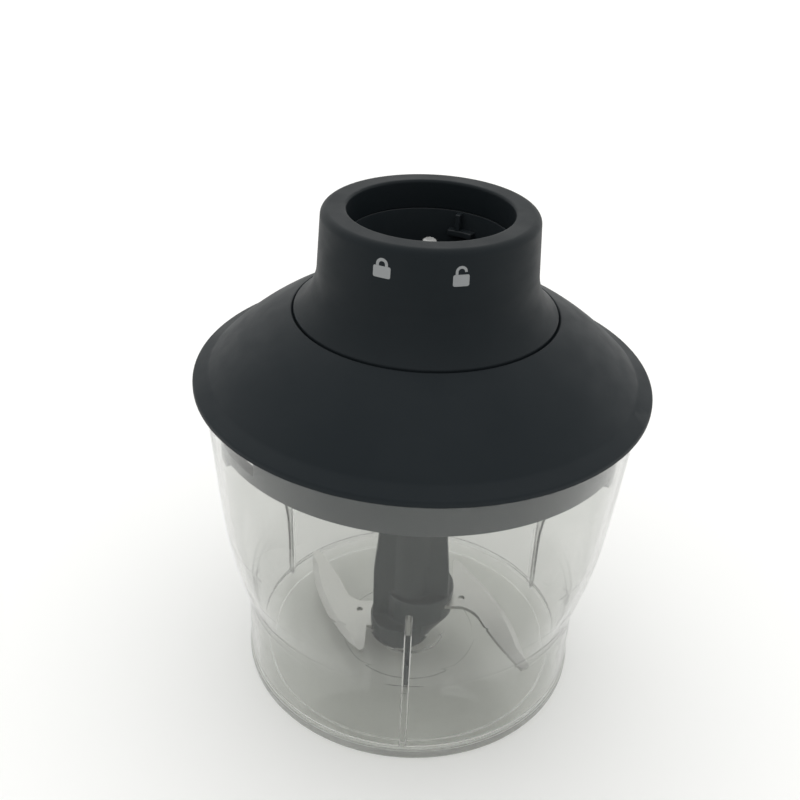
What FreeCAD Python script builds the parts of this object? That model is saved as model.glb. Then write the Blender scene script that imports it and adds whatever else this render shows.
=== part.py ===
import FreeCAD, Part
import math
import os
from collections import namedtuple
import Sketcher

# Chopper attachment of a hand blender: a clear bowl with a steel pin, a hub with two curved blades on the
# pin, and a lid that holds a planetary reduction gear under the collar in which the motor unit locks.
# Millimetres. +Z is up, the origin is the centre of the bowl's foot, and -Y is the front.

SIZES = {
    # bowl, outside
    "foot_inner_r": 44.0,
    "foot_outer_r": 49.7,
    "foot_band_r": 50.6,
    "foot_round_z": 0.9,
    "foot_band_z": 3.2,
    "waist_r": 50.2,
    "waist_low_z": 3.7,
    "waist_top_z": 22.0,
    "flare_r": 52.3,
    "flare_z": 33.5,
    "flare_arc": 41.0,
    "shoulder_r": 56.8,
    "shoulder_z": 58.0,
    "shoulder_arc": 140.0,
    "bowl_rim_r": 60.0,
    "bowl_rim_z": 96.4,
    "bowl_wall": 1.8,
    # bowl, inside
    "foot_recess_z": 0.9,
    "floor_z": 3.0,
    "floor_corner": 1.6,
    "floor_ring_inner_r": 20.6,
    "floor_ring_outer_r": 21.4,
    "floor_ring_z": 3.25,
    "boss_r": 11.4,
    "boss_z": 4.1,
    "rib_inner_r": 46.7,
    "rib_top_z": 52.0,
    "rib_root_r": 49.2,
    "rib_flare_r": 51.3,
    "rib_top_r": 54.9,
    "rib_thickness": 1.9,
    "lug_inner_r": 54.9,
    "lug_root_r": 58.4,
    "lug_low_z": 89.2,
    "lug_top_z": 91.7,
    # steel pin in the bowl's floor
    "pin_r": 3.0,
    "pin_low_z": 1.8,
    "pin_shoulder_z": 60.4,
    "pin_tip_r": 1.4,
    "pin_top_z": 62.0,
    # blade hub
    "hub_low_z": 4.5,
    "hub_core_r": 6.5,
    "hub_head_r": 10.8,
    "hub_head_z": 70.0,
    "hub_top_z": 82.2,
    "hub_bore_r": 3.3,
    "hub_bore_top_z": 64.0,
    "bush_bore_r": 3.05,
    "bush_r": 5.0,
    "bush_top_z": 17.0,
    "wing_half": 4.1,
    "wing_top_r": 9.8,
    "wing_mid_r": 10.5,
    "wing_mid_z": 42.0,
    "wing_low_r": 11.6,
    "wing_low_z": 30.0,
    "lower_lobe_r": 9.5,
    "lower_lobe_x": 2.8,
    "lower_lobe_y": 2.0,
    "lower_lobe_z": 12.0,
    "upper_lobe_r": 11.0,
    "upper_lobe_x": 2.6,
    "upper_lobe_y": 1.6,
    "upper_lobe_low_z": 13.0,
    "upper_lobe_top_z": 21.5,
    "taper_foot_r": 6.8,
    # dog clutch between the output spindle and the hub
    "socket_r": 8.7,
    "socket_floor_z": 76.0,
    "socket_tooth_r": 5.4,
    "dog_core_r": 5.0,
    "dog_tooth_r": 8.3,
    "dog_low_z": 77.0,
    "dog_top_z": 82.0,
    # blades
    "blade_thickness": 1.2,
    "lower_blade_z": 7.4,
    "upper_blade_z": 17.4,
    "tongue_r": 5.6,
    "tongue_half": 5.6,
    "blade_heel_x": 13.4,
    "blade_heel_y": 15.6,
    "blade_nose_x": 15.0,
    "blade_nose_y": 16.8,
    "blade_nose_arc": 1.5,
    "blade_lead_arc": 76.0,
    "blade_tip_lead_x": 34.6,
    "blade_tip_lead_y": -27.6,
    "blade_tip_trail_x": 32.6,
    "blade_tip_trail_y": -29.4,
    "blade_tip_arc": 1.5,
    "blade_back_x": 21.3,
    "blade_back_y": -9.6,
    "blade_back_arc": 90.0,
    "blade_root_x": 16.4,
    "blade_root_y": -5.6,
    "blade_root_arc": 9.0,
    "blade_hole_x": 16.1,
    "blade_hole_y": -1.4,
    "blade_hole_r": 1.0,
    "edge_width": 1.8,
    "edge_depth": 0.85,
    # seal between the bowl's rim and the lid
    "seal_inner_r": 57.2,
    "seal_outer_r": 60.3,
    "seal_lip": 0.5,
    "seal_low_z": 96.5,
    "seal_top_z": 98.3,
    # lid base: the plug that enters the bowl, with the well for the gearbox
    "plug_r": 56.7,
    "plug_inner_r": 54.4,
    "plug_low_z": 85.5,
    "plug_top_z": 99.0,
    "deck_low_z": 94.5,
    "deck_top_z": 97.0,
    "well_outer_r": 33.2,
    "well_inner_r": 31.0,
    "well_low_z": 83.0,
    "well_floor_z": 85.0,
    "seal_hole_r": 7.5,
    "slot_low_z": 88.6,
    "slot_top_z": 92.4,
    "tab_low_z": 83.2,
    # lid cover
    "lid_r": 62.5,
    "lid_low_z": 97.5,
    "brim_z": 99.1,
    "crease_r": 58.3,
    "crease_z": 100.95,
    "cone_arc": 81.0,
    "cone_top_r": 35.9,
    "cone_top_z": 117.6,
    "seam_r": 35.2,
    "ledge_z": 116.7,
    "ledge_inner_r": 30.6,
    "ledge_under_z": 114.7,
    "cone_under_r": 34.0,
    "cone_under_arc": 79.0,
    "brim_under_r": 57.4,
    "brim_under_z": 99.2,
    "brim_lip_r": 61.0,
    "brim_lip_z": 98.7,
    "lid_boss_r": 3.6,
    "lid_boss_top_z": 111.0,
    "lid_screw_circle": 42.0,
    # coupling collar
    "collar_foot_z": 118.0,
    "collar_neck_r": 29.0,
    "collar_neck_z": 130.0,
    "collar_flare_arc": 15.5,
    "collar_shoulder_r": 28.2,
    "collar_shoulder_z": 143.1,
    "collar_round": 2.1,
    "collar_flat_r": 26.2,
    "collar_top_z": 145.2,
    "collar_wall": 2.3,
    "collar_plate_z": 142.6,
    "bore_r": 21.5,
    "bore_round": 0.8,
    "bore_low_z": 137.4,
    "skirt_r": 23.6,
    # coupling socket inside the collar
    "socket_cup_r": 23.4,
    "socket_cup_inner_r": 20.8,
    "socket_cup_top_z": 137.2,
    "socket_cup_floor_z": 116.9,
    "socket_flange_r": 30.4,
    "socket_hole_r": 9.0,
    "latch_inner_r": 19.2,
    "latch_root_r": 21.6,
    "latch_low_z": 130.7,
    "latch_bar_z": 132.4,
    "latch_top_z": 137.0,
    # gearbox
    "gear_module": 1.0,
    "housing_r": 30.5,
    "housing_floor_z": 87.4,
    "housing_ledge_r": 24.4,
    "housing_ledge_z": 93.0,
    "housing_boss_r": 9.0,
    "housing_boss_z": 89.4,
    "ring_gear_r": 26.2,
    "housing_top_z": 106.0,
    "gear_cover_z": 108.4,
    "cover_boss_r": 7.0,
    "cover_boss_z": 114.4,
    "gear_screw_circle": 28.35,
    "planet_low_z": 93.6,
    "planet_top_z": 103.2,
    "planet_circle": 15.0,
    "carrier_r": 19.5,
    "carrier_boss_r": 7.0,
    "carrier_low_z": 89.9,
    "carrier_plate_z": 90.8,
    "carrier_top_z": 93.0,
    "planet_pin_r": 1.5,
    "planet_pin_top_z": 104.2,
    "planet_bore_r": 1.55,
    "spindle_r": 4.0,
    "output_bush_bore_r": 4.05,
    "output_bush_r": 6.5,
    "shaft_seal_bore_r": 4.08,
    "washer_bore_r": 4.3,
    "washer_r": 8.8,
    "washer_top_z": 89.8,
    # input shaft and the splined coupling on it
    "input_r": 2.5,
    "input_low_z": 93.3,
    "input_neck_z": 132.4,
    "input_tip_r": 2.2,
    "input_tip_z": 136.0,
    "tip_dome": 1.0,
    "tip_flat_r": 1.2,
    "input_top_z": 137.0,
    "input_bush_bore_r": 2.55,
    "input_bush_r": 4.5,
    "clip_groove_r": 2.1,
    "clip_r": 4.4,
    "clip_low_z": 114.8,
    "clip_top_z": 115.6,
    "coupling_low_z": 117.6,
    "coupling_top_z": 132.0,
    "coupling_core_r": 4.9,
    "coupling_lobe_r": 1.3,
    "coupling_lobe_circle": 5.1,
    # screws
    "lid_screw_r": 1.4,
    "lid_screw_head_r": 2.7,
    "lid_screw_head_z": 92.9,
    "lid_screw_top_z": 106.0,
    "gear_screw_r": 1.2,
    "gear_screw_low_z": 98.0,
    "gear_screw_head_r": 2.1,
    "gear_screw_head_z": 110.2,
    "clearance_hole_r": 1.6,
    "driver_slot": 0.7,
    "driver_depth": 0.8,
}

SUN_TEETH = 15
PLANET_TEETH = 15
RING_TEETH = SUN_TEETH + 2 * PLANET_TEETH
PLANET_ANGLES = (0, 120, 240)
PRESSURE_ANGLE = math.radians(20)
ADDENDUM = 0.8  # in modules: stub teeth
DEDENDUM = 1.05  # in modules
BACKLASH = 0.07  # in modules, taken off each flank

RIB_ANGLES = (-90, 30, 150)
LUG_ANGLES = (-20, 20, 160, 200)
LUG_HALF_ANGLE = 4.0
SLOT_HALF_ANGLE = 5.5
TAB_ANGLE = 5.5
LOCK_TURN = 20.0
LATCH_ANGLES = (68, 248)
LATCH_STEM_ANGLE = 4.4
LATCH_BAR_ANGLE = 21.0
LATCH_BAR_OFFSET = -2.5
CLUTCH_TOOTH_ANGLE = 44.0
LOBES = 6
LID_SCREW_ANGLES = (30, 150, 270)
GEAR_SCREW_ANGLES = (60, 180, 300)
SLOT_LENGTH = 3  # driver slot over the screw head, in head radii

NEAR = 0.01  # distances below this count as nothing

Arc = namedtuple("Arc", "radius centre_left")  # an outline's edge: its radius, and the side of its centre

doc = FreeCAD.newDocument("Chopper")
sheet = doc.addObject("Spreadsheet::Sheet", "Sizes")
for row, (alias, value) in enumerate(SIZES.items(), start=1):
    sheet.set(f"A{row}", alias)
    sheet.set(f"B{row}", str(value))
    sheet.setAlias(f"B{row}", alias)
doc.recompute()

pieces = []


def measure(words):
    """The value of a sum of sheet names such as "lid_r - bowl_wall"."""
    total = 0.0
    sign = 1.0
    for word in words.split():
        if word in "+-":
            sign = 1.0 if word == "+" else -1.0
        else:
            total += sign * (SIZES[word] if word in SIZES else float(word))
    return total


def formula(words):
    """The same sum as an expression on the sheet."""
    return " ".join(f"Sizes.{word}" if word in SIZES else word for word in words.split())


def keep(piece, label):
    """Name a sub-part and list it for the hand-out."""
    piece.Label = label
    pieces.append(piece)
    return piece


def new_body(name):
    return doc.addObject("PartDesign::Body", name + "_body")


def bind_place(sketch, geometry, point, axis, words):
    """Hold one coordinate of a sketch point at a sum of sheet names."""
    if words == "0":
        other_axis = -2 if axis == "X" else -1
        sketch.addConstraint(Sketcher.Constraint("PointOnObject", geometry, point, other_axis))
        return
    value = measure(words)
    index = sketch.addConstraint(Sketcher.Constraint("Distance" + axis, -1, 1, geometry, point, value))
    sketch.setExpression(f"Constraints[{index}]", formula(words))


def arc_between(start, end, edge):
    """An arc of a stated radius from start to end, with its centre left or right of the way."""
    radius = measure(edge.radius)
    chord = end - start
    reach = math.sqrt(radius**2 - (chord.Length / 2) ** 2)
    left = FreeCAD.Vector(-chord.y, chord.x, 0).normalize()
    centre = (start + end) / 2 + left * (reach if edge.centre_left else -reach)
    first, last = (start, end) if edge.centre_left else (end, start)
    low = math.atan2(first.y - centre.y, first.x - centre.x)
    high = math.atan2(last.y - centre.y, last.x - centre.x)
    return Part.ArcOfCircle(Part.Circle(centre, FreeCAD.Vector(0, 0, 1), radius), low, high)


def draw_outline(sketch, outline):
    """Draw a closed outline of (x, y) sums of sheet names, with an Arc where an edge is round."""
    corners = [item for item in outline if not isinstance(item, Arc)]
    edges = []
    for place, item in enumerate(outline):
        if not isinstance(item, Arc):
            follower = outline[(place + 1) % len(outline)]
            edges.append(follower if isinstance(follower, Arc) else None)
    points = [FreeCAD.Vector(measure(x), measure(y), 0) for x, y in corners]
    ends = []
    for number, edge in enumerate(edges):
        start = points[number]
        end = points[(number + 1) % len(points)]
        if edge is None:
            geometry = sketch.addGeometry(Part.LineSegment(start, end), False)
            ends.append((geometry, 1, 2))
        else:
            geometry = sketch.addGeometry(arc_between(start, end, edge), False)
            ends.append((geometry, 1, 2) if edge.centre_left else (geometry, 2, 1))
    for number, (geometry, start, end) in enumerate(ends):
        following, its_start, its_end = ends[(number + 1) % len(ends)]
        sketch.addConstraint(Sketcher.Constraint("Coincident", geometry, end, following, its_start))
    for (geometry, start, end), (x, y), edge in zip(ends, corners, edges):
        bind_place(sketch, geometry, start, "X", x)
        bind_place(sketch, geometry, start, "Y", y)
        if edge is not None:
            index = sketch.addConstraint(Sketcher.Constraint("Radius", geometry, measure(edge.radius)))
            sketch.setExpression(f"Constraints[{index}]", formula(edge.radius))


def draw_circle(sketch, x, y, radius):
    centre = FreeCAD.Vector(measure(x), measure(y), 0)
    circle = Part.Circle(centre, FreeCAD.Vector(0, 0, 1), measure(radius))
    geometry = sketch.addGeometry(circle, False)
    if x == "0" and y == "0":
        sketch.addConstraint(Sketcher.Constraint("Coincident", geometry, 3, -1, 1))
    else:
        bind_place(sketch, geometry, 3, "X", x)
        bind_place(sketch, geometry, 3, "Y", y)
    index = sketch.addConstraint(Sketcher.Constraint("Radius", geometry, measure(radius)))
    sketch.setExpression(f"Constraints[{index}]", formula(radius))


def new_sketch(body, name, plane, height=None, azimuth=0.0):
    """A sketch on one of the body's own origin planes, raised to a height or turned about the Z axis."""
    sketch = body.newObject("Sketcher::SketchObject", name)
    support = [item for item in body.Origin.OriginFeatures if item.Role == plane][0]
    sketch.AttachmentSupport = (support, [""])
    sketch.MapMode = "FlatFace"
    turn = FreeCAD.Rotation(FreeCAD.Vector(0, 1, 0), azimuth) if plane == "XZ_Plane" else FreeCAD.Rotation()
    sketch.AttachmentOffset = FreeCAD.Placement(FreeCAD.Vector(0, 0, measure(height or "0")), turn)
    if height:
        sketch.setExpression("AttachmentOffset.Base.z", formula(height))
    return sketch


def revolve(body, name, outline, angle=360.0, azimuth=0.0, remove=False):
    """Turn a half section of (radius, height) about Z, centred on an azimuth when it isn't a full turn."""
    sketch = new_sketch(body, name + "_sketch", "XZ_Plane", azimuth=azimuth)
    draw_outline(sketch, outline)
    feature = body.newObject("PartDesign::Groove" if remove else "PartDesign::Revolution", name)
    feature.Profile = sketch
    feature.ReferenceAxis = (sketch, ["V_Axis"])
    feature.Angle = angle
    feature.Midplane = angle < 360
    return feature


def extrude(body, name, outlines, low, high, circles=(), remove=False):
    """Pad or pocket a flat shape between two heights."""
    sketch = new_sketch(body, name + "_sketch", "XY_Plane", height=low)
    for outline in outlines:
        draw_outline(sketch, outline)
    for circle in circles:
        draw_circle(sketch, *circle)
    feature = body.newObject("PartDesign::Pocket" if remove else "PartDesign::Pad", name)
    feature.Profile = sketch
    feature.setExpression("Length", f"{formula(high)} - ({formula(low)})")
    feature.Reversed = remove
    return feature


def repeat_around(body, name, features, count):
    """Repeat features of a body evenly about its Z axis."""
    pattern = body.newObject("PartDesign::PolarPattern", name)
    pattern.Originals = features
    axis = [item for item in body.Origin.OriginFeatures if item.Role == "Z_Axis"][0]
    pattern.Axis = (axis, [""])
    pattern.Angle = 360
    pattern.Occurrences = count
    body.Tip = pattern
    return pattern


def rectangle(inner, outer, low, high):
    """Outline between two radii and two heights, or two x and two y values."""
    return [(inner, low), (outer, low), (outer, high), (inner, high)]


def cylinder(radius, low, high, x=0.0, y=0.0):
    """A plain Part cylinder between two heights, bound to the sheet."""
    solid = doc.addObject("Part::Cylinder", "Cylinder")
    solid.setExpression("Radius", formula(radius))
    solid.setExpression("Height", f"{formula(high)} - ({formula(low)})")
    solid.Placement.Base = FreeCAD.Vector(x, y, 0)
    solid.setExpression("Placement.Base.z", formula(low))
    return solid


def cut(base, tool):
    result = doc.addObject("Part::Cut", "Cut")
    result.Base = base
    result.Tool = tool
    return result


def fuse(first, second):
    result = doc.addObject("Part::Fuse", "Fuse")
    result.Base = first
    result.Tool = second
    return result


def ring(label, outer, inner, low, high):
    """A plain ring, such as a bush or a washer."""
    return keep(cut(cylinder(outer, low, high), cylinder(inner, low + " - 1", high + " + 1")), label)


def on_circle(radius, azimuth):
    return (
        radius * math.cos(math.radians(azimuth)),
        radius * math.sin(math.radians(azimuth)),
    )


def screws(label, circle, angles, shank, head, head_low, head_high, shank_end, head_is_up):
    """A group of pan-head screws standing on a circle, each with a slot for the driver."""
    group = []
    for azimuth in angles:
        x, y = on_circle(measure(circle), azimuth)
        head_disc = cylinder(head, head_low, head_high, x, y)
        low, high = (shank_end, head_low) if head_is_up else (head_high, shank_end)
        screw = fuse(head_disc, cylinder(shank, low, high, x, y))
        slot = doc.addObject("Part::Box", "Slot")
        slot.setExpression("Length", f"{formula(head)} * {SLOT_LENGTH}")
        slot.setExpression("Width", formula("driver_slot"))
        slot.setExpression("Height", formula("driver_depth"))
        edge = f"{head_high} - driver_depth" if head_is_up else head_low
        corner_x = x - measure(head) * SLOT_LENGTH / 2
        slot.Placement.Base = FreeCAD.Vector(corner_x, y - measure("driver_slot") / 2, 0)
        slot.setExpression("Placement.Base.z", formula(edge))
        group.append(cut(screw, slot))
    compound = doc.addObject("Part::Compound", label)
    compound.Links = group
    return keep(compound, label)


def bowl():
    """Clear bowl: a footed shell with a waist and a flare, three ribs, four bayonet lugs and a pin boss."""
    body = new_body("bowl")
    inner_waist = "waist_r - bowl_wall"
    shell = [
        ("0", "foot_recess_z"),
        ("foot_inner_r", "foot_recess_z"),
        ("foot_inner_r", "0"),
        ("foot_outer_r", "0"),
        ("foot_band_r", "foot_round_z"),
        ("foot_band_r", "foot_band_z"),
        ("waist_r", "waist_low_z"),
        ("waist_r", "waist_top_z"),
        Arc("flare_arc", False),
        ("flare_r", "flare_z"),
        Arc("shoulder_arc", True),
        ("shoulder_r", "shoulder_z"),
        ("bowl_rim_r", "bowl_rim_z"),
        ("bowl_rim_r - bowl_wall", "bowl_rim_z"),
        ("shoulder_r - bowl_wall", "shoulder_z"),
        Arc("shoulder_arc - bowl_wall", False),
        ("flare_r - bowl_wall", "flare_z"),
        Arc("flare_arc + bowl_wall", True),
        (inner_waist, "waist_top_z"),
        (inner_waist, "floor_z + floor_corner"),
        Arc("floor_corner", False),
        (f"{inner_waist} - floor_corner", "floor_z"),
        ("floor_ring_outer_r", "floor_z"),
        ("floor_ring_outer_r", "floor_ring_z"),
        ("floor_ring_inner_r", "floor_ring_z"),
        ("floor_ring_inner_r", "floor_z"),
        ("boss_r", "floor_z"),
        ("boss_r", "boss_z"),
        ("0", "boss_z"),
    ]
    revolve(body, "Shell", shell)
    rib_sketch = new_sketch(body, "Rib_sketch", "XZ_Plane", azimuth=RIB_ANGLES[0])
    rib_outline = [
        ("rib_inner_r", "foot_band_z - 1"),
        ("rib_root_r", "foot_band_z - 1"),
        ("rib_root_r", "waist_top_z"),
        ("rib_flare_r", "flare_z"),
        ("rib_top_r", "rib_top_z"),
        ("rib_inner_r", "rib_top_z"),
    ]
    draw_outline(rib_sketch, rib_outline)
    rib = body.newObject("PartDesign::Pad", "Rib")
    rib.Profile = rib_sketch
    rib.setExpression("Length", "Sizes.rib_thickness")
    rib.Midplane = True
    repeat_around(body, "Ribs", [rib], len(RIB_ANGLES))
    lug = rectangle("lug_inner_r", "lug_root_r", "lug_low_z", "lug_top_z")
    for number, azimuth in enumerate(LUG_ANGLES, start=1):
        revolve(body, f"Lug{number}", lug, 2 * LUG_HALF_ANGLE, azimuth)
    revolve(body, "Pin_seat", [("0", "pin_low_z"), ("pin_r", "pin_low_z"), ("pin_r", "boss_z + 1"),
                               ("0", "boss_z + 1")], remove=True)
    keep(body, "bowl")


def bowl_pin():
    """Steel pin that the hub turns on, with a pointed end to lead the hub in."""
    body = new_body("bowl_pin")
    outline = [
        ("0", "pin_low_z"),
        ("pin_r", "pin_low_z"),
        ("pin_r", "pin_shoulder_z"),
        ("pin_tip_r", "pin_top_z"),
        ("0", "pin_top_z"),
    ]
    revolve(body, "Turned", outline)
    keep(body, "bowl_pin")


def blade_hub():
    """Moulded hub: a column with two wings, a lobe for each blade, and the socket of the dog clutch."""
    body = new_body("blade_hub")
    column = [
        ("0", "hub_low_z"),
        ("taper_foot_r", "hub_low_z"),
        ("hub_core_r", "upper_lobe_low_z"),
        ("hub_core_r", "hub_head_z"),
        ("hub_head_r", "hub_head_z + hub_head_r - hub_core_r"),
        ("hub_head_r", "hub_top_z"),
        ("0", "hub_top_z"),
    ]
    revolve(body, "Column", column)
    wing_sketch = new_sketch(body, "Wings_sketch", "XZ_Plane")
    wings = [
        ("wing_low_r", "upper_lobe_low_z"),
        ("wing_low_r", "wing_low_z"),
        ("wing_mid_r", "wing_mid_z"),
        ("wing_top_r", "hub_head_z + 1"),
        ("0 - wing_top_r", "hub_head_z + 1"),
        ("0 - wing_mid_r", "wing_mid_z"),
        ("0 - wing_low_r", "wing_low_z"),
        ("0 - wing_low_r", "lower_lobe_z - 2"),
        ("0 - hub_core_r", "upper_lobe_low_z - 4"),
    ]
    draw_outline(wing_sketch, wings)
    wing_pad = body.newObject("PartDesign::Pad", "Wings")
    wing_pad.Profile = wing_sketch
    wing_pad.setExpression("Length", "Sizes.wing_half * 2")
    wing_pad.Midplane = True
    extrude(body, "Lower_lobe", [], "hub_low_z", "lower_lobe_z",
            circles=[("0 - lower_lobe_x", "0 - lower_lobe_y", "lower_lobe_r")])
    foot = new_sketch(body, "Taper_foot", "XY_Plane", height="hub_low_z")
    draw_circle(foot, "0", "0", "taper_foot_r")
    head = new_sketch(body, "Taper_head", "XY_Plane", height="upper_lobe_low_z")
    draw_circle(head, "upper_lobe_x", "upper_lobe_y", "upper_lobe_r")
    taper = body.newObject("PartDesign::AdditiveLoft", "Taper")
    taper.Profile = foot
    taper.Sections = [head]
    extrude(body, "Upper_lobe", [], "upper_lobe_low_z", "upper_lobe_top_z",
            circles=[("upper_lobe_x", "upper_lobe_y", "upper_lobe_r")])
    for name, level, near, far in (
        ("Lower_slot", "lower_blade_z", "0 - tongue_r", "0 - blade_heel_x - 1"),
        ("Upper_slot", "upper_blade_z", "tongue_r", "blade_heel_x + 1"),
    ):
        slot = rectangle(near, far, "0 - tongue_half", "tongue_half")
        extrude(body, name, [slot], level, f"{level} + blade_thickness", remove=True)
    bore = [
        ("0", "hub_low_z - 1"),
        ("bush_r", "hub_low_z - 1"),
        ("bush_r", "bush_top_z"),
        ("hub_bore_r", "bush_top_z"),
        ("hub_bore_r", "hub_bore_top_z"),
        ("0", "hub_bore_top_z"),
    ]
    revolve(body, "Bore", bore, remove=True)
    top = "hub_top_z + 1"
    revolve(body, "Socket_core", rectangle("0", "socket_tooth_r", "socket_floor_z", top), remove=True)
    for number, azimuth in enumerate((0, 180), start=1):
        space = rectangle("socket_tooth_r - 1", "socket_r", "socket_floor_z", top)
        revolve(body, f"Socket_space{number}", space, 180 - CLUTCH_TOOTH_ANGLE, azimuth, remove=True)
    keep(body, "blade_hub")


def blade(label, level, azimuth):
    """Curved steel blade, ground on its convex leading side, with a tongue moulded into the hub."""
    body = new_body(label)
    outline = [
        ("tongue_r", "0 - tongue_half"),
        ("blade_root_x", "blade_root_y"),
        Arc("blade_root_arc", False),
        ("blade_back_x", "blade_back_y"),
        Arc("blade_back_arc", True),
        ("blade_tip_trail_x", "blade_tip_trail_y"),
        Arc("blade_tip_arc", True),
        ("blade_tip_lead_x", "blade_tip_lead_y"),
        Arc("blade_lead_arc", True),
        ("blade_nose_x", "blade_nose_y"),
        Arc("blade_nose_arc", True),
        ("blade_heel_x", "blade_heel_y"),
        ("blade_heel_x", "tongue_half"),
        ("tongue_r", "tongue_half"),
    ]
    extrude(body, "Plate", [outline], "0", "blade_thickness",
            circles=[("blade_hole_x", "blade_hole_y", "blade_hole_r")])
    doc.recompute()
    plate = body.Tip
    top = SIZES["blade_thickness"]
    lead_radius = SIZES["blade_lead_arc"]
    longest = 0.0
    leading = 0
    for number, edge in enumerate(plate.Shape.Edges, start=1):
        on_top = edge.BoundBox.ZMin > top - NEAR
        is_lead = isinstance(edge.Curve, Part.Circle) and abs(edge.Curve.Radius - lead_radius) < NEAR
        if on_top and is_lead and edge.Length > longest:
            longest = edge.Length
            leading = number
    bevel = body.newObject("PartDesign::Chamfer", "Ground_edge")
    bevel.Base = (plate, [f"Edge{leading}"])
    bevel.ChamferType = "Two distances"
    bevel.setExpression("Size", "Sizes.edge_depth")
    bevel.setExpression("Size2", "Sizes.edge_width")
    doc.recompute()
    top_area = max(face.Area for face in bevel.Shape.Faces if face.BoundBox.ZMin > top - NEAR)
    bottom_area = max(face.Area for face in bevel.Shape.Faces if face.BoundBox.ZMax < NEAR)
    half_of_bevel = SIZES["edge_width"] * longest / 2
    if bottom_area - top_area < half_of_bevel:
        bevel.FlipDirection = True
    body.Placement.Rotation = FreeCAD.Rotation(FreeCAD.Vector(0, 0, 1), azimuth)
    body.setExpression("Placement.Base.z", formula(level))
    keep(body, label)


def lid_seal():
    """Soft ring on the bowl's rim, with a lip inside it."""
    body = new_body("lid_seal")
    outline = [
        ("seal_inner_r", "seal_low_z"),
        ("seal_outer_r", "seal_low_z"),
        ("seal_outer_r", "seal_top_z - seal_lip"),
        ("seal_outer_r - seal_lip", "seal_top_z"),
        ("seal_inner_r + seal_lip", "seal_top_z"),
        ("seal_inner_r", "seal_top_z - seal_lip"),
    ]
    revolve(body, "Ring", outline)
    keep(body, "lid_seal")


def lid_base():
    """Grey plug with L-shaped bayonet slots, a deck for the lid's screws and a well for the gearbox."""
    body = new_body("lid_base")
    section = [
        ("seal_hole_r", "well_low_z"),
        ("well_outer_r", "well_low_z"),
        ("well_outer_r", "deck_low_z"),
        ("plug_inner_r", "deck_low_z"),
        ("plug_inner_r", "plug_low_z"),
        ("plug_r", "plug_low_z"),
        ("plug_r", "plug_top_z"),
        ("plug_inner_r", "plug_top_z"),
        ("plug_inner_r", "deck_top_z"),
        ("well_inner_r", "deck_top_z"),
        ("well_inner_r", "well_floor_z"),
        ("seal_hole_r", "well_floor_z"),
    ]
    revolve(body, "Section", section)
    for number, azimuth in enumerate(LUG_ANGLES, start=1):
        outward = 1 if math.tan(math.radians(azimuth)) > 0 else -1
        tab = rectangle("plug_inner_r", "plug_r", "tab_low_z", "plug_low_z + 1")
        revolve(body, f"Tab{number}", tab, TAB_ANGLE, azimuth + outward * (SLOT_HALF_ANGLE + TAB_ANGLE / 2))
    for number, azimuth in enumerate(LUG_ANGLES, start=1):
        entry = rectangle("plug_inner_r - 1", "plug_r + 1", "tab_low_z - 1", "slot_top_z")
        revolve(body, f"Entry{number}", entry, 2 * SLOT_HALF_ANGLE, azimuth, remove=True)
        run = rectangle("plug_inner_r - 1", "plug_r + 1", "slot_low_z", "slot_top_z")
        run_angle = 2 * SLOT_HALF_ANGLE + LOCK_TURN
        revolve(body, f"Run{number}", run, run_angle, azimuth + LOCK_TURN / 2, remove=True)
    screw_hole_cut(body, "Screw_hole", "lid_screw_circle", LID_SCREW_ANGLES, "clearance_hole_r",
                   "deck_low_z - 1", "deck_top_z + 1")
    keep(body, "lid_base")


def screw_hole_cut(body, name, circle, angles, radius, low, high):
    """Drill a screw hole at each of the given angles."""
    for number, azimuth in enumerate(angles, start=1):
        sketch = new_sketch(body, f"{name}{number}_sketch", "XY_Plane", height=low)
        x, y = on_circle(measure(circle), azimuth)
        geometry = sketch.addGeometry(
            Part.Circle(FreeCAD.Vector(x, y, 0), FreeCAD.Vector(0, 0, 1), measure(radius)), False
        )
        for axis, function, value in (("X", "cos", x), ("Y", "sin", y)):
            if abs(value) < NEAR:
                other_axis = -2 if axis == "X" else -1
                sketch.addConstraint(Sketcher.Constraint("PointOnObject", geometry, 3, other_axis))
                continue
            index = sketch.addConstraint(Sketcher.Constraint("Distance" + axis, -1, 1, geometry, 3, value))
            sketch.setExpression(f"Constraints[{index}]", f"{formula(circle)} * {function}({azimuth} deg)")
        index = sketch.addConstraint(Sketcher.Constraint("Radius", geometry, measure(radius)))
        sketch.setExpression(f"Constraints[{index}]", formula(radius))
        pocket = body.newObject("PartDesign::Pocket", f"{name}{number}")
        pocket.Profile = sketch
        pocket.setExpression("Length", f"{formula(high)} - ({formula(low)})")
        pocket.Reversed = True


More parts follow.
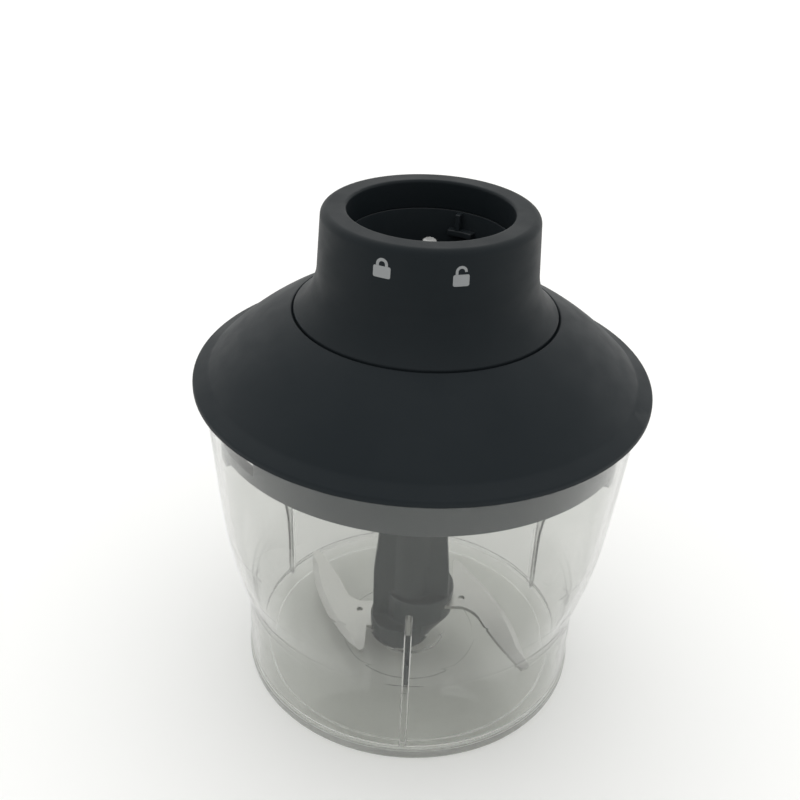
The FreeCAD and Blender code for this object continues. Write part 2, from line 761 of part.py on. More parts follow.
def lid_cover():
    """Dark conical cover: a brim, a slightly domed cone, a ledge for the collar and three screw bosses."""
    body = new_body("lid_cover")
    section = [
        ("lid_r", "lid_low_z"),
        ("lid_r", "brim_z"),
        ("crease_r", "crease_z"),
        Arc("cone_arc", True),
        ("cone_top_r", "cone_top_z"),
        ("seam_r", "ledge_z"),
        ("ledge_inner_r", "ledge_z"),
        ("ledge_inner_r", "ledge_under_z"),
        ("cone_under_r", "ledge_under_z"),
        Arc("cone_under_arc", False),
        ("brim_under_r", "brim_under_z"),
        ("brim_lip_r", "brim_lip_z"),
        ("brim_lip_r", "lid_low_z"),
    ]
    revolve(body, "Section", section)
    boss_sketch = new_sketch(body, "Boss_sketch", "XY_Plane", height="deck_top_z")
    x, y = on_circle(measure("lid_screw_circle"), LID_SCREW_ANGLES[2])
    place = FreeCAD.Vector(x, y, 0)
    circle = Part.Circle(place, FreeCAD.Vector(0, 0, 1), measure("lid_boss_r"))
    geometry = boss_sketch.addGeometry(circle, False)
    boss_sketch.addConstraint(Sketcher.Constraint("PointOnObject", geometry, 3, -2))
    index = boss_sketch.addConstraint(Sketcher.Constraint("DistanceY", -1, 1, geometry, 3, y))
    boss_sketch.setExpression(f"Constraints[{index}]", "-Sizes.lid_screw_circle")
    index = boss_sketch.addConstraint(Sketcher.Constraint("Radius", geometry, measure("lid_boss_r")))
    boss_sketch.setExpression(f"Constraints[{index}]", "Sizes.lid_boss_r")
    boss = body.newObject("PartDesign::Pad", "Boss")
    boss.Profile = boss_sketch
    boss.setExpression("Length", "Sizes.lid_boss_top_z - Sizes.deck_top_z")
    repeat_around(body, "Bosses", [boss], len(LID_SCREW_ANGLES))
    screw_hole_cut(body, "Pilot", "lid_screw_circle", LID_SCREW_ANGLES, "lid_screw_r",
                   "deck_top_z - 1", "lid_screw_top_z")
    keep(body, "lid_cover")


def coupling_collar():
    """Collar that receives the motor unit: a flared outer skin, a flat top and a short bore."""
    body = new_body("coupling_collar")
    section = [
        ("seam_r", "ledge_z"),
        ("seam_r", "collar_foot_z"),
        Arc("collar_flare_arc", False),
        ("collar_neck_r", "collar_neck_z"),
        ("collar_shoulder_r", "collar_shoulder_z"),
        Arc("collar_round", True),
        ("collar_flat_r", "collar_top_z"),
        ("bore_r + bore_round", "collar_top_z"),
        Arc("bore_round", True),
        ("bore_r", "collar_top_z - bore_round"),
        ("bore_r", "bore_low_z"),
        ("skirt_r", "bore_low_z"),
        ("skirt_r", "collar_plate_z"),
        ("collar_shoulder_r - collar_wall", "collar_plate_z"),
        ("collar_neck_r - collar_wall", "collar_neck_z"),
        Arc("collar_flare_arc + collar_wall", True),
        ("seam_r - collar_wall", "collar_foot_z"),
        ("seam_r - collar_wall", "ledge_z"),
    ]
    revolve(body, "Section", section)
    keep(body, "coupling_collar")


def coupling_socket():
    """Cup under the collar with two L-shaped ribs that hold the motor unit's bayonet."""
    body = new_body("coupling_socket")
    section = [
        ("socket_hole_r", "ledge_under_z"),
        ("socket_flange_r", "ledge_under_z"),
        ("socket_flange_r", "socket_cup_floor_z"),
        ("socket_cup_r", "socket_cup_floor_z"),
        ("socket_cup_r", "socket_cup_top_z"),
        ("socket_cup_inner_r", "socket_cup_top_z"),
        ("socket_cup_inner_r", "socket_cup_floor_z"),
        ("socket_hole_r", "socket_cup_floor_z"),
    ]
    revolve(body, "Section", section)
    for number, azimuth in enumerate(LATCH_ANGLES, start=1):
        bar = rectangle("latch_inner_r", "latch_root_r", "latch_low_z", "latch_bar_z")
        revolve(body, f"Bar{number}", bar, LATCH_BAR_ANGLE, azimuth + LATCH_BAR_OFFSET)
        stem = rectangle("latch_inner_r", "latch_root_r", "latch_low_z", "latch_top_z")
        revolve(body, f"Stem{number}", stem, LATCH_STEM_ANGLE, azimuth)
    keep(body, "coupling_socket")


def gearbox_housing():
    """Cup that holds the ring gear on a ledge and the output bush in its floor."""
    body = new_body("gearbox_housing")
    section = [
        ("output_bush_r", "well_floor_z"),
        ("housing_r", "well_floor_z"),
        ("housing_r", "housing_top_z"),
        ("ring_gear_r", "housing_top_z"),
        ("ring_gear_r", "housing_ledge_z"),
        ("housing_ledge_r", "housing_ledge_z"),
        ("housing_ledge_r", "housing_floor_z"),
        ("housing_boss_r", "housing_floor_z"),
        ("housing_boss_r", "housing_boss_z"),
        ("output_bush_r", "housing_boss_z"),
    ]
    revolve(body, "Section", section)
    screw_hole_cut(body, "Pilot", "gear_screw_circle", GEAR_SCREW_ANGLES, "gear_screw_r",
                   "gear_screw_low_z", "housing_top_z + 1")
    keep(body, "gearbox_housing")


def gearbox_cover():
    """Plate that closes the gearbox, with a boss for the input bush."""
    body = new_body("gearbox_cover")
    section = [
        ("input_bush_r", "housing_top_z"),
        ("housing_r", "housing_top_z"),
        ("housing_r", "gear_cover_z"),
        ("cover_boss_r", "gear_cover_z"),
        ("cover_boss_r", "cover_boss_z"),
        ("input_bush_r", "cover_boss_z"),
    ]
    revolve(body, "Section", section)
    screw_hole_cut(body, "Screw_hole", "gear_screw_circle", GEAR_SCREW_ANGLES, "gear_screw_r",
                   "housing_top_z - 1", "gear_cover_z + 1")
    keep(body, "gearbox_cover")


def planet_carrier():
    """Disc with a boss for the output spindle and three holes for the planet pins."""
    body = new_body("planet_carrier")
    section = [
        ("spindle_r", "carrier_low_z"),
        ("carrier_boss_r", "carrier_low_z"),
        ("carrier_boss_r", "carrier_plate_z"),
        ("carrier_r", "carrier_plate_z"),
        ("carrier_r", "carrier_top_z"),
        ("spindle_r", "carrier_top_z"),
    ]
    revolve(body, "Section", section)
    screw_hole_cut(body, "Pin_hole", "planet_circle", PLANET_ANGLES, "planet_pin_r",
                   "carrier_plate_z - 1", "carrier_top_z + 1")
    keep(body, "planet_carrier")


def output_spindle():
    """Steel spindle pressed into the carrier, with the two teeth of the dog clutch at its lower end."""
    body = new_body("output_spindle")
    shaft = [
        ("0", "dog_low_z"),
        ("dog_core_r", "dog_low_z"),
        ("dog_core_r", "dog_top_z"),
        ("spindle_r", "dog_top_z"),
        ("spindle_r", "carrier_top_z"),
        ("0", "carrier_top_z"),
    ]
    revolve(body, "Shaft", shaft)
    for number, azimuth in enumerate((0, 180), start=1):
        tooth = rectangle("dog_core_r - 1", "dog_tooth_r", "dog_low_z", "dog_top_z")
        revolve(body, f"Tooth{number}", tooth, CLUTCH_TOOTH_ANGLE, azimuth)
    keep(body, "output_spindle")


def input_shaft():
    """Steel shaft with a domed tip above, a clip groove and the seat of the sun gear below."""
    body = new_body("input_shaft")
    outline = [
        ("0", "input_low_z"),
        ("input_r", "input_low_z"),
        ("input_r", "clip_low_z"),
        ("clip_groove_r", "clip_low_z"),
        ("clip_groove_r", "clip_top_z"),
        ("input_r", "clip_top_z"),
        ("input_r", "input_neck_z"),
        ("input_tip_r", "input_neck_z"),
        ("input_tip_r", "input_tip_z"),
        Arc("tip_dome", True),
        ("tip_flat_r", "input_top_z"),
        ("0", "input_top_z"),
    ]
    revolve(body, "Turned", outline)
    keep(body, "input_shaft")


def drive_coupling():
    """Splined coupling on the input shaft, which the motor unit's drive socket slides over."""
    body = new_body("drive_coupling")
    extrude(body, "Core", [], "coupling_low_z", "coupling_top_z", circles=[("0", "0", "coupling_core_r")])
    lobe = extrude(body, "Lobe", [], "coupling_low_z", "coupling_top_z",
                   circles=[("coupling_lobe_circle", "0", "coupling_lobe_r")])
    repeat_around(body, "Lobes", [lobe], LOBES)
    revolve(body, "Bore", rectangle("0", "input_r", "coupling_low_z - 1", "coupling_top_z + 1"), remove=True)
    keep(body, "drive_coupling")


def involute_angle(radius, base_radius):
    """How far an involute of the base circle has turned where it reaches a radius."""
    slope = math.sqrt(max(radius**2 / base_radius**2 - 1, 0.0))
    return slope - math.atan(slope)


def toothed_wire(teeth, tip, root, thickness_change):
    """Closed outline of involute teeth, the first centred on +X, each flank an arc through three points."""
    module = sheet.gear_module
    pitch_radius = teeth * module / 2
    base_radius = pitch_radius * math.cos(PRESSURE_ANGLE)
    half_tooth = math.pi / (2 * teeth) + thickness_change / pitch_radius
    flank_low = max(base_radius, root)
    radii = (flank_low, (flank_low + tip) / 2, tip)
    start = involute_angle(pitch_radius, base_radius)
    half_angles = [half_tooth + start - involute_angle(radius, base_radius) for radius in radii]
    pitch_angle = 2 * math.pi / teeth
    edges = []

    def place(radius, angle):
        return FreeCAD.Vector(radius * math.cos(angle), radius * math.sin(angle), 0)

    for tooth in range(teeth):
        centre = tooth * pitch_angle
        rising = [place(radius, centre - half) for radius, half in zip(radii, half_angles)]
        falling = [place(radius, centre + half) for radius, half in zip(radii, half_angles)]
        root_start = place(root, centre - half_angles[0])
        root_end = place(root, centre + half_angles[0])
        next_root = place(root, centre + pitch_angle - half_angles[0])
        if flank_low > root:
            edges.append(Part.makeLine(root_start, rising[0]))
        edges.append(Part.Arc(*rising).toShape())
        edges.append(Part.Arc(rising[2], place(tip, centre), falling[2]).toShape())
        edges.append(Part.Arc(*reversed(falling)).toShape())
        if flank_low > root:
            edges.append(Part.makeLine(falling[0], root_end))
        edges.append(Part.Arc(root_end, place(root, centre + pitch_angle / 2), next_root).toShape())
    return Part.Wire(edges)


def gear(label, face, low, high, x=0.0, y=0.0, turn=0.0):
    """Raise a gear's face between two heights and set it in its place."""
    piece = doc.addObject("Part::Feature", label)
    piece.Shape = face.extrude(FreeCAD.Vector(0, 0, measure(high) - measure(low)))
    place = FreeCAD.Vector(x, y, measure(low))
    piece.Placement = FreeCAD.Placement(place, FreeCAD.Rotation(FreeCAD.Vector(0, 0, 1), turn))
    return keep(piece, label)


def bored_gear_face(teeth, bore_radius):
    module = sheet.gear_module
    pitch_radius = teeth * module / 2
    outline = toothed_wire(teeth, pitch_radius + ADDENDUM * module, pitch_radius - DEDENDUM * module,
                           -BACKLASH * module)
    bore = Part.Wire(Part.makeCircle(bore_radius))
    return Part.makeFace([outline, bore], "Part::FaceMakerBullseye")


def gears():
    """Sun, planets and ring gear, in mesh: the sun shows a tooth to each planet, the ring a space."""
    module = sheet.gear_module
    gear("sun_gear", bored_gear_face(SUN_TEETH, sheet.input_r), "planet_low_z", "planet_top_z")
    distance = (SUN_TEETH + PLANET_TEETH) * module / 2
    for number, azimuth in enumerate(PLANET_ANGLES, start=1):
        x, y = on_circle(distance, azimuth)
        face = bored_gear_face(PLANET_TEETH, sheet.planet_bore_r)
        gear(f"planet_gear_{number}", face, "planet_low_z", "planet_top_z", x, y, azimuth)
        pin = cylinder("planet_pin_r", "carrier_plate_z", "planet_pin_top_z", x, y)
        keep(pin, f"planet_pin_{number}")
    ring_radius = RING_TEETH * module / 2
    spaces = toothed_wire(RING_TEETH, ring_radius + DEDENDUM * module, ring_radius - ADDENDUM * module,
                          BACKLASH * module)
    rim = Part.Wire(Part.makeCircle(sheet.ring_gear_r))
    ring_face = Part.makeFace([rim, spaces], "Part::FaceMakerBullseye")
    gear("ring_gear", ring_face, "housing_ledge_z", "housing_top_z")


def build():
    bowl()
    bowl_pin()
    blade_hub()
    ring("hub_bush", "bush_r", "bush_bore_r", "hub_low_z", "bush_top_z")
    blade("blade_lower", "lower_blade_z", 180)
    blade("blade_upper", "upper_blade_z", 0)
    lid_seal()
    lid_base()
    lid_cover()
    coupling_collar()
    coupling_socket()
    gearbox_housing()
    gearbox_cover()
    ring("output_bush", "output_bush_r", "output_bush_bore_r", "well_floor_z", "housing_boss_z")
    ring("input_bush", "input_bush_r", "input_bush_bore_r", "housing_top_z", "cover_boss_z")
    ring("shaft_seal", "seal_hole_r", "shaft_seal_bore_r", "well_low_z", "well_floor_z")
    ring("thrust_washer", "washer_r", "washer_bore_r", "housing_boss_z", "washer_top_z")
    ring("shaft_clip", "clip_r", "clip_groove_r", "clip_low_z", "clip_top_z")
    screws("lid_screws", "lid_screw_circle", LID_SCREW_ANGLES, "lid_screw_r", "lid_screw_head_r",
           "lid_screw_head_z", "deck_low_z", "lid_screw_top_z", False)
    screws("gearbox_screws", "gear_screw_circle", GEAR_SCREW_ANGLES, "gear_screw_r", "gear_screw_head_r",
           "gear_cover_z", "gear_screw_head_z", "gear_screw_low_z", True)
    planet_carrier()
    output_spindle()
    input_shaft()
    drive_coupling()
    gears()


def check_document():
    """Stop if any object failed or any sub-part isn't a valid shape."""
    doc.recompute()
    for item in doc.Objects:
        if "Invalid" in item.State or "Error" in item.State:
            raise RuntimeError(f"{item.Label} failed: {item.State}")
    for piece in pieces:
        if piece.Shape.isNull() or not piece.Shape.isValid():
            raise RuntimeError(f"{piece.Label} has no valid shape")


build()
check_document()
os.makedirs("parts", exist_ok=True)
for piece in pieces:
    piece.Shape.exportStep(f"parts/{piece.Label}.step")
    print(f"{piece.Label:18s} solids {len(piece.Shape.Solids)}  volume {piece.Shape.Volume:10.1f} mm3")
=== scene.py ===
import math
from collections import namedtuple

import bmesh
import bpy
from mathutils import Matrix, Vector
from mathutils.geometry import tessellate_polygon


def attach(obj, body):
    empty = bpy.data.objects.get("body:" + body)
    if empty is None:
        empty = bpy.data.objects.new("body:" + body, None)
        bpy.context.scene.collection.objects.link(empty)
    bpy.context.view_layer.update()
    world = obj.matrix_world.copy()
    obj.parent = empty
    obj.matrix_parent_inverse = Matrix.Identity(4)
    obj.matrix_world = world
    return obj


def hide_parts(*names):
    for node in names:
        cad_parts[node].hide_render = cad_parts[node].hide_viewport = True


# Looks of the chopper attachment: a clear bowl with blades on its pin, and the dark lid with its collar.
# Shapes are written in millimetres and degrees, and made in metres.

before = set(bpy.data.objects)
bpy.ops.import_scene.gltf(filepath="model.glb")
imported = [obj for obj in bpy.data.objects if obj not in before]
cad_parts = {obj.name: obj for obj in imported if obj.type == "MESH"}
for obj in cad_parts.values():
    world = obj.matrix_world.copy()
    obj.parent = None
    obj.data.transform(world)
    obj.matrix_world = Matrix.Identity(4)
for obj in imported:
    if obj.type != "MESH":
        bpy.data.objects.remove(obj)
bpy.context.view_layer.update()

MM = 0.001
TURNS = 192  # facets of a round piece
ARC_STEP = 0.9  # longest chord along an arc of a section
ARC_TURN = 9  # widest turn along an arc of a section
ON_AXIS = 1e-6  # a smaller radius lies on the axis
CORNER = 0.25  # how far a moulded corner is cut back on each side
CORNER_STEPS = 4
CORNER_SHARE = 0.4  # most of a run that the corner at one of its ends may take
STEP_SHARE = 0.45  # most of a run's first step that a cut may take
SHARP_ANGLE = 32  # faces that meet at a wider angle are shaded with an edge between them
BLOCK_EDGE_ANGLE = 40  # edges of a block that are sharper than this are rounded
WELD = 0.004  # points closer than this are merged
UPRIGHT = Matrix.Rotation(math.radians(90), 4, "X")

# Places that more than one piece uses.
RIB_ANGLES = (-90, 30, 150)
LUG_ANGLES = (-20, 20, 160, 200)
LATCH_ANGLES = (68, 248)
LID_SCREW_ANGLES = (30, 150, 270)
LID_SCREW_CIRCLE = 42.0
LOWER_BLADE_Z = 7.4
UPPER_BLADE_Z = 17.4
BLADE_THICKNESS = 1.2
TONGUE_R = 5.6  # where a blade's root starts inside the hub
TONGUE_HALF = 5.6  # half of the root's width
SEAM_R = 35.2
LEDGE_Z = 116.7
NECK_R, NECK_Z = 29.0, 130.0
SHOULDER_R, SHOULDER_Z = 28.2, 143.1

Arc = namedtuple("Arc", "radius centre_left")


# ---------------------------------------------------------------- shapes

def on_circle(radius, azimuth):
    """The x and y of a point on a circle about the axis."""
    return radius * math.cos(math.radians(azimuth)), radius * math.sin(math.radians(azimuth))


def arc_points(start, end, edge):
    """Points of an arc from start to end with its centre left or right of the way."""
    ax, ay = start
    bx, by = end
    chord = math.hypot(bx - ax, by - ay)
    reach = math.sqrt(edge.radius ** 2 - (chord / 2) ** 2)
    side = 1 if edge.centre_left else -1
    cx = (ax + bx) / 2 - side * reach * (by - ay) / chord
    cy = (ay + by) / 2 + side * reach * (bx - ax) / chord
    turn = 2 * math.asin(chord / (2 * edge.radius)) * side
    first = math.atan2(ay - cy, ax - cx)
    count = max(3, round(edge.radius * abs(turn) / ARC_STEP), round(abs(turn) / math.radians(ARC_TURN)))
    angles = [first + turn * k / count for k in range(count + 1)]
    return [(cx + edge.radius * math.cos(angle), cy + edge.radius * math.sin(angle)) for angle in angles]


def shortened(points, cut):
    """A run of points with a length cut off its start."""
    points = list(points)
    while len(points) > 2:
        step = math.dist(points[0], points[1])
        if step > cut:
            break
        cut -= step
        points.pop(0)
    step = math.dist(points[0], points[1])
    share = min(cut / step, STEP_SHARE)
    (ax, ay), (bx, by) = points[:2]
    points[0] = (ax + (bx - ax) * share, ay + (by - ay) * share)
    return points


def outline(items, corner):
    """Polyline of a closed outline of (x, y) or (x, y, cut) corners and Arcs, with rounded corners."""
    corners = [item for item in items if not isinstance(item, Arc)]
    runs = []
    for number, item in enumerate(items):
        if isinstance(item, Arc):
            continue
        follower = items[(number + 1) % len(items)]
        start = item[:2]
        end = corners[(len(runs) + 1) % len(corners)][:2]
        runs.append(arc_points(start, end, follower) if isinstance(follower, Arc) else [start, end])
    cuts = []
    for number, item in enumerate(corners):
        before, after = runs[number - 1], runs[number]
        room = CORNER_SHARE * min(sum(map(math.dist, run, run[1:])) for run in (before, after))
        wanted = item[2] if len(item) > 2 else corner
        cuts.append(0.0 if item[0] == 0 else min(wanted, room))
    points = []
    for number, run in enumerate(runs):
        cut, next_cut = cuts[number], cuts[(number + 1) % len(cuts)]
        if cut > 0:
            run = shortened(run, cut)
        if next_cut == 0:
            points += run[:-1]
            continue
        run = shortened(run[::-1], next_cut)[::-1]
        points += run
        follower = shortened(runs[(number + 1) % len(runs)], next_cut)
        (ax, ay), (cx, cy), (bx, by) = run[-1], corners[(number + 1) % len(corners)][:2], follower[0]
        for k in range(1, CORNER_STEPS):
            t = k / CORNER_STEPS
            points.append((
                (1 - t) ** 2 * ax + 2 * t * (1 - t) * cx + t ** 2 * bx,
                (1 - t) ** 2 * ay + 2 * t * (1 - t) * cy + t ** 2 * by,
            ))
    return points


def shade(piece, sharp=SHARP_ANGLE):
    """Smooth faces, with edges kept where they meet at a wide angle."""
    piece.data.polygons.foreach_set("use_smooth", [True] * len(piece.data.polygons))
    piece.data.set_sharp_from_angle(angle=math.radians(sharp))
    piece.data.update()


def finish_mesh(mesh, name, sharp=SHARP_ANGLE):
    """Close up a bmesh and make an object of it with smooth faces and sharp edges."""
    bmesh.ops.recalc_face_normals(mesh, faces=mesh.faces)
    data = bpy.data.meshes.new(name)
    mesh.to_mesh(data)
    mesh.free()
    piece = bpy.data.objects.new(name, data)
    bpy.context.scene.collection.objects.link(piece)
    shade(piece, sharp)
    return piece


def lathe(name, items, corner=CORNER, turns=TURNS):
    """A solid of revolution of a closed section of (radius, height)."""
    mesh = bmesh.new()
    rows = []
    for radius, height in outline(items, corner):
        if radius < ON_AXIS:
            rows.append([mesh.verts.new((0, 0, height * MM))])
            continue
        angles = [2 * math.pi * k / turns for k in range(turns)]
        rows.append([
            mesh.verts.new((radius * math.cos(angle) * MM, radius * math.sin(angle) * MM, height * MM))
            for angle in angles
        ])
    for row, above in zip(rows, rows[1:] + rows[:1]):
        if len(row) == 1 and len(above) == 1:
            continue
        for k in range(turns):
            following = (k + 1) % turns
            if len(row) == 1:
                mesh.faces.new((row[0], above[following], above[k]))
            elif len(above) == 1:
                mesh.faces.new((row[k], row[following], above[0]))
            else:
                mesh.faces.new((row[k], row[following], above[following], above[k]))
    return finish_mesh(mesh, name)


def round_off(mesh, faces, size):
    """Round the corners of a closed block that has just been added to a bmesh."""
    bmesh.ops.recalc_face_normals(mesh, faces=faces)
    mesh.normal_update()
    least = math.radians(BLOCK_EDGE_ANGLE)
    edges = {edge for face in faces for edge in face.edges if edge.calc_face_angle(0.0) > least}
    bmesh.ops.bevel(
        mesh, geom=list(edges), offset=size * MM, segments=3, profile=0.5, affect="EDGES", clamp_overlap=True,
    )


def sector(mesh, inner, outer, low, high, middle, spread, soften):
    """Add a closed block between two radii, two heights and two azimuths to a bmesh."""
    steps = max(2, math.ceil(spread / (360 / TURNS)))
    rows = []
    made = []
    for k in range(steps + 1):
        azimuth = math.radians(middle - spread / 2 + spread * k / steps)
        direction = (math.cos(azimuth), math.sin(azimuth))
        rows.append([
            mesh.verts.new((radius * direction[0] * MM, radius * direction[1] * MM, height * MM))
            for radius, height in ((inner, low), (outer, low), (outer, high), (inner, high))
        ])
    for row, following in zip(rows, rows[1:]):
        for k in range(4):
            made.append(mesh.faces.new((row[k], row[(k + 1) % 4], following[(k + 1) % 4], following[k])))
    made.append(mesh.faces.new(rows[0][::-1]))
    made.append(mesh.faces.new(rows[-1]))
    if soften:
        round_off(mesh, made, soften)


def sectors(name, blocks, soften=0.0):
    """An object of several blocks, each given as inner and outer radius, low, high, azimuth and spread."""
    mesh = bmesh.new()
    for block in blocks:
        sector(mesh, *block, soften)
    return finish_mesh(mesh, name)


def prism(mesh, points, low, high, stand=Matrix.Identity(4), soften=0.0):
    """Add a straight block over a flat outline to a bmesh; stand says how the block is turned."""
    lower = [mesh.verts.new(stand @ Vector((x * MM, y * MM, low * MM))) for x, y in points]
    upper = [mesh.verts.new(stand @ Vector((x * MM, y * MM, high * MM))) for x, y in points]
    made = [mesh.faces.new(lower[::-1]), mesh.faces.new(upper)]
    count = len(points)
    for k in range(count):
        following = (k + 1) % count
        made.append(mesh.faces.new((lower[k], lower[following], upper[following], upper[k])))
    if soften:
        round_off(mesh, made, soften)


def rod(mesh, x, y, radius, low, high, turns=48):
    """Add a closed round rod to a bmesh."""
    angles = [2 * math.pi * k / turns for k in range(turns)]
    prism(mesh, [(x + radius * math.cos(angle), y + radius * math.sin(angle)) for angle in angles], low, high)


def ring(mesh, x, y, radius, height, turns):
    """Add a level ring of vertices to a bmesh."""
    places = [on_circle(radius, 360 * k / turns) for k in range(turns)]
    return [mesh.verts.new(((x + across) * MM, (y + along) * MM, height * MM)) for across, along in places]


def apply_modifiers(piece):
    """Replace a piece's mesh by what its modifiers make of it."""
    graph = bpy.context.evaluated_depsgraph_get()
    made = bpy.data.meshes.new_from_object(piece.evaluated_get(graph))
    old = piece.data
    piece.modifiers.clear()
    piece.data = made
    made.name = piece.name
    bpy.data.meshes.remove(old)


def combine(piece, tool, operation):
    """Join a tool to a piece or cut it out, and drop the tool."""
    step = piece.modifiers.new(operation, "BOOLEAN")
    step.operation = operation
    step.solver = "EXACT"
    step.object = tool
    apply_modifiers(piece)
    bpy.data.objects.remove(tool)


def weld(piece):
    """Merge points that are very close and drop faces without area."""
    mesh = bmesh.new()
    mesh.from_mesh(piece.data)
    bmesh.ops.remove_doubles(mesh, verts=mesh.verts, dist=WELD * MM)
    bmesh.ops.dissolve_degenerate(mesh, edges=mesh.edges, dist=WELD * MM)
    mesh.to_mesh(piece.data)
    mesh.free()


def drop_crumbs(piece):
    """Keep only the largest connected part of a mesh, without what a boolean or a remesh leaves loose."""
    mesh = bmesh.new()
    mesh.from_mesh(piece.data)
    waiting = set(mesh.verts)
    parts = []
    while waiting:
        part = set()
        front = [waiting.pop()]
        while front:
            vertex = front.pop()
            part.add(vertex)
            for edge in vertex.link_edges:
                other = edge.other_vert(vertex)
                if other in waiting:
                    waiting.remove(other)
                    front.append(other)
        parts.append(part)
    parts.sort(key=len)
    crumbs = [vertex for part in parts[:-1] for vertex in part]
    bmesh.ops.delete(mesh, geom=crumbs, context="VERTS")
    mesh.to_mesh(piece.data)
    mesh.free()


def even_normals(piece):
    """Weight the normals by face area, so that flats look flat and only roundings shade."""
    step = piece.modifiers.new("Normals", "WEIGHTED_NORMAL")
    step.keep_sharp = True
    step.weight = 80


# ---------------------------------------------------------------- materials

class Paint:
    """A node material with helpers that keep its tree short."""

    def __init__(self, name, **values):
        self.material = bpy.data.materials.new(name)
        self.material.use_nodes = True
        self.tree = self.material.node_tree
        self.shader = self.tree.nodes["Principled BSDF"]
        self.output = self.tree.nodes["Material Output"]
        self.coordinates = self.tree.nodes.new("ShaderNodeTexCoord").outputs["Object"]
        for socket, value in values.items():
            self.shader.inputs[socket.replace("_", " ")].default_value = value

    def link(self, source, target):
        """Join two sockets."""
        self.tree.links.new(source, target)

    def set(self, socket, source):
        """Drive one of the shader's sockets."""
        self.link(source, self.shader.inputs[socket])

    def noise(self, size, detail, stretch=(1.0, 1.0, 1.0), seed=(0.0, 0.0, 0.0)):
        """Noise whose blotches are about size millimetres across, drawn out along an axis by stretch."""
        mapping = self.tree.nodes.new("ShaderNodeMapping")
        mapping.inputs["Scale"].default_value = [1 / stretched for stretched in stretch]
        mapping.inputs["Location"].default_value = seed
        self.link(self.coordinates, mapping.inputs["Vector"])
        node = self.tree.nodes.new("ShaderNodeTexNoise")
        node.inputs["Scale"].default_value = 1 / (size * MM)
        node.inputs["Detail"].default_value = detail
        self.link(mapping.outputs["Vector"], node.inputs["Vector"])
        return node.outputs["Fac"]

    def spread(self, value, low, high, from_low=0.3, from_high=0.7):
        """Map a value's range onto another range."""
        node = self.tree.nodes.new("ShaderNodeMapRange")
        node.inputs["From Min"].default_value = from_low
        node.inputs["From Max"].default_value = from_high
        node.inputs["To Min"].default_value = low
        node.inputs["To Max"].default_value = high
        self.link(value, node.inputs["Value"])
        return node.outputs["Result"]

    def calculate(self, operation, first, second):
        """Combine two values."""
        node = self.tree.nodes.new("ShaderNodeMath")
        node.operation = operation
        self.link(first, node.inputs[0])
        self.link(second, node.inputs[1])
        return node.outputs[0]

    def blend(self, factor, first, second):
        """Colour between two colours, each a tuple or a socket."""
        node = self.tree.nodes.new("ShaderNodeMix")
        node.data_type = "RGBA"
        self.link(factor, node.inputs["Factor"])
        for socket, colour in ((node.inputs[6], first), (node.inputs[7], second)):
            if isinstance(colour, tuple):
                socket.default_value = (*colour, 1.0)
            else:
                self.link(colour, socket)
        return node.outputs[2]

    def edges(self):
        """1 on outer edges and 0 elsewhere."""
        node = self.tree.nodes.new("ShaderNodeNewGeometry")
        return self.spread(node.outputs["Pointiness"], 0.0, 1.0, from_low=0.51, from_high=0.6)

    def bump(self, *layers):
        """Stack bumps of (height, depth in millimetres, strength)."""
        normal = None
        for height, depth, strength in layers:
            node = self.tree.nodes.new("ShaderNodeBump")
            node.inputs["Distance"].default_value = depth * MM
            node.inputs["Strength"].default_value = strength
            self.link(height, node.inputs["Height"])
            if normal is not None:
                self.link(normal, node.inputs["Normal"])
            normal = node.outputs["Normal"]
        self.link(normal, self.shader.inputs["Normal"])


def moulded(name, colour, lighter, rough, grain=0.28, depth=0.02, edge_wear_and_highlight=None, **values):
    """Opaque moulded plastic with a spark-eroded grain, faint flow marks and convex edges painted lighter,
    partly rubbed wear and partly a painted highlight.
    """
    paint = Paint(name, **values)
    flow = paint.noise(size=26.0, detail=4.0, stretch=(1.0, 1.0, 2.2))
    base = paint.blend(paint.spread(flow, 0.0, 1.0), colour, lighter)
    # Convex edges are painted lighter in patches: partly rubbed wear, partly a painted highlight.
    if edge_wear_and_highlight:
        edge_patches = paint.noise(size=5.0, detail=4.0, seed=(0.3, 0.1, 0.7))
        rubbed_and_highlit = paint.calculate("MULTIPLY", paint.edges(), paint.spread(edge_patches, 0.15, 0.8))
        base = paint.blend(rubbed_and_highlit, base, edge_wear_and_highlight)
    paint.set("Base Color", base)
    wiped = paint.noise(size=9.0, detail=5.0, stretch=(1.0, 1.0, 0.5), seed=(0.9, 0.4, 0.2))
    paint.set("Roughness", paint.spread(wiped, *rough))
    fine = paint.noise(size=grain, detail=2.0)
    wave = paint.noise(size=14.0, detail=2.0, seed=(0.5, 0.8, 0.1))
    paint.bump((wave, 0.25, 0.12), (fine, depth, 0.5))
    return paint.material


def metal(name, colour, darker, rough, lines, pitch=0.12, depth=0.004):
    """Steel or bronze with the fine lines that turning or brushing leaves, drawn out as lines says."""
    paint = Paint(name, Metallic=1.0)
    cloudy = paint.noise(size=7.0, detail=4.0)
    line = paint.noise(size=pitch, detail=2.0, stretch=lines)
    paint.set("Base Color", paint.blend(paint.spread(cloudy, 0.0, 1.0), colour, darker))
    paint.set("Roughness", paint.spread(line, *rough))
    paint.bump((line, depth, 0.6))
    return paint.material


def lets_lamps_through(paint, tint):
    """Shadow and diffuse rays pass the clear plastic, tinted, so that what stands inside it is lit."""
    path = paint.tree.nodes.new("ShaderNodeLightPath")
    clear = paint.tree.nodes.new("ShaderNodeBsdfTransparent")
    clear.inputs["Color"].default_value = (*tint, 1.0)
    passes = paint.calculate("MAXIMUM", path.outputs["Is Shadow Ray"], path.outputs["Is Diffuse Ray"])
    mix = paint.tree.nodes.new("ShaderNodeMixShader")
    paint.link(passes, mix.inputs["Fac"])
    paint.link(paint.shader.outputs["BSDF"], mix.inputs[1])
    paint.link(clear.outputs["BSDF"], mix.inputs[2])
    paint.link(mix.outputs["Shader"], paint.output.inputs["Surface"])


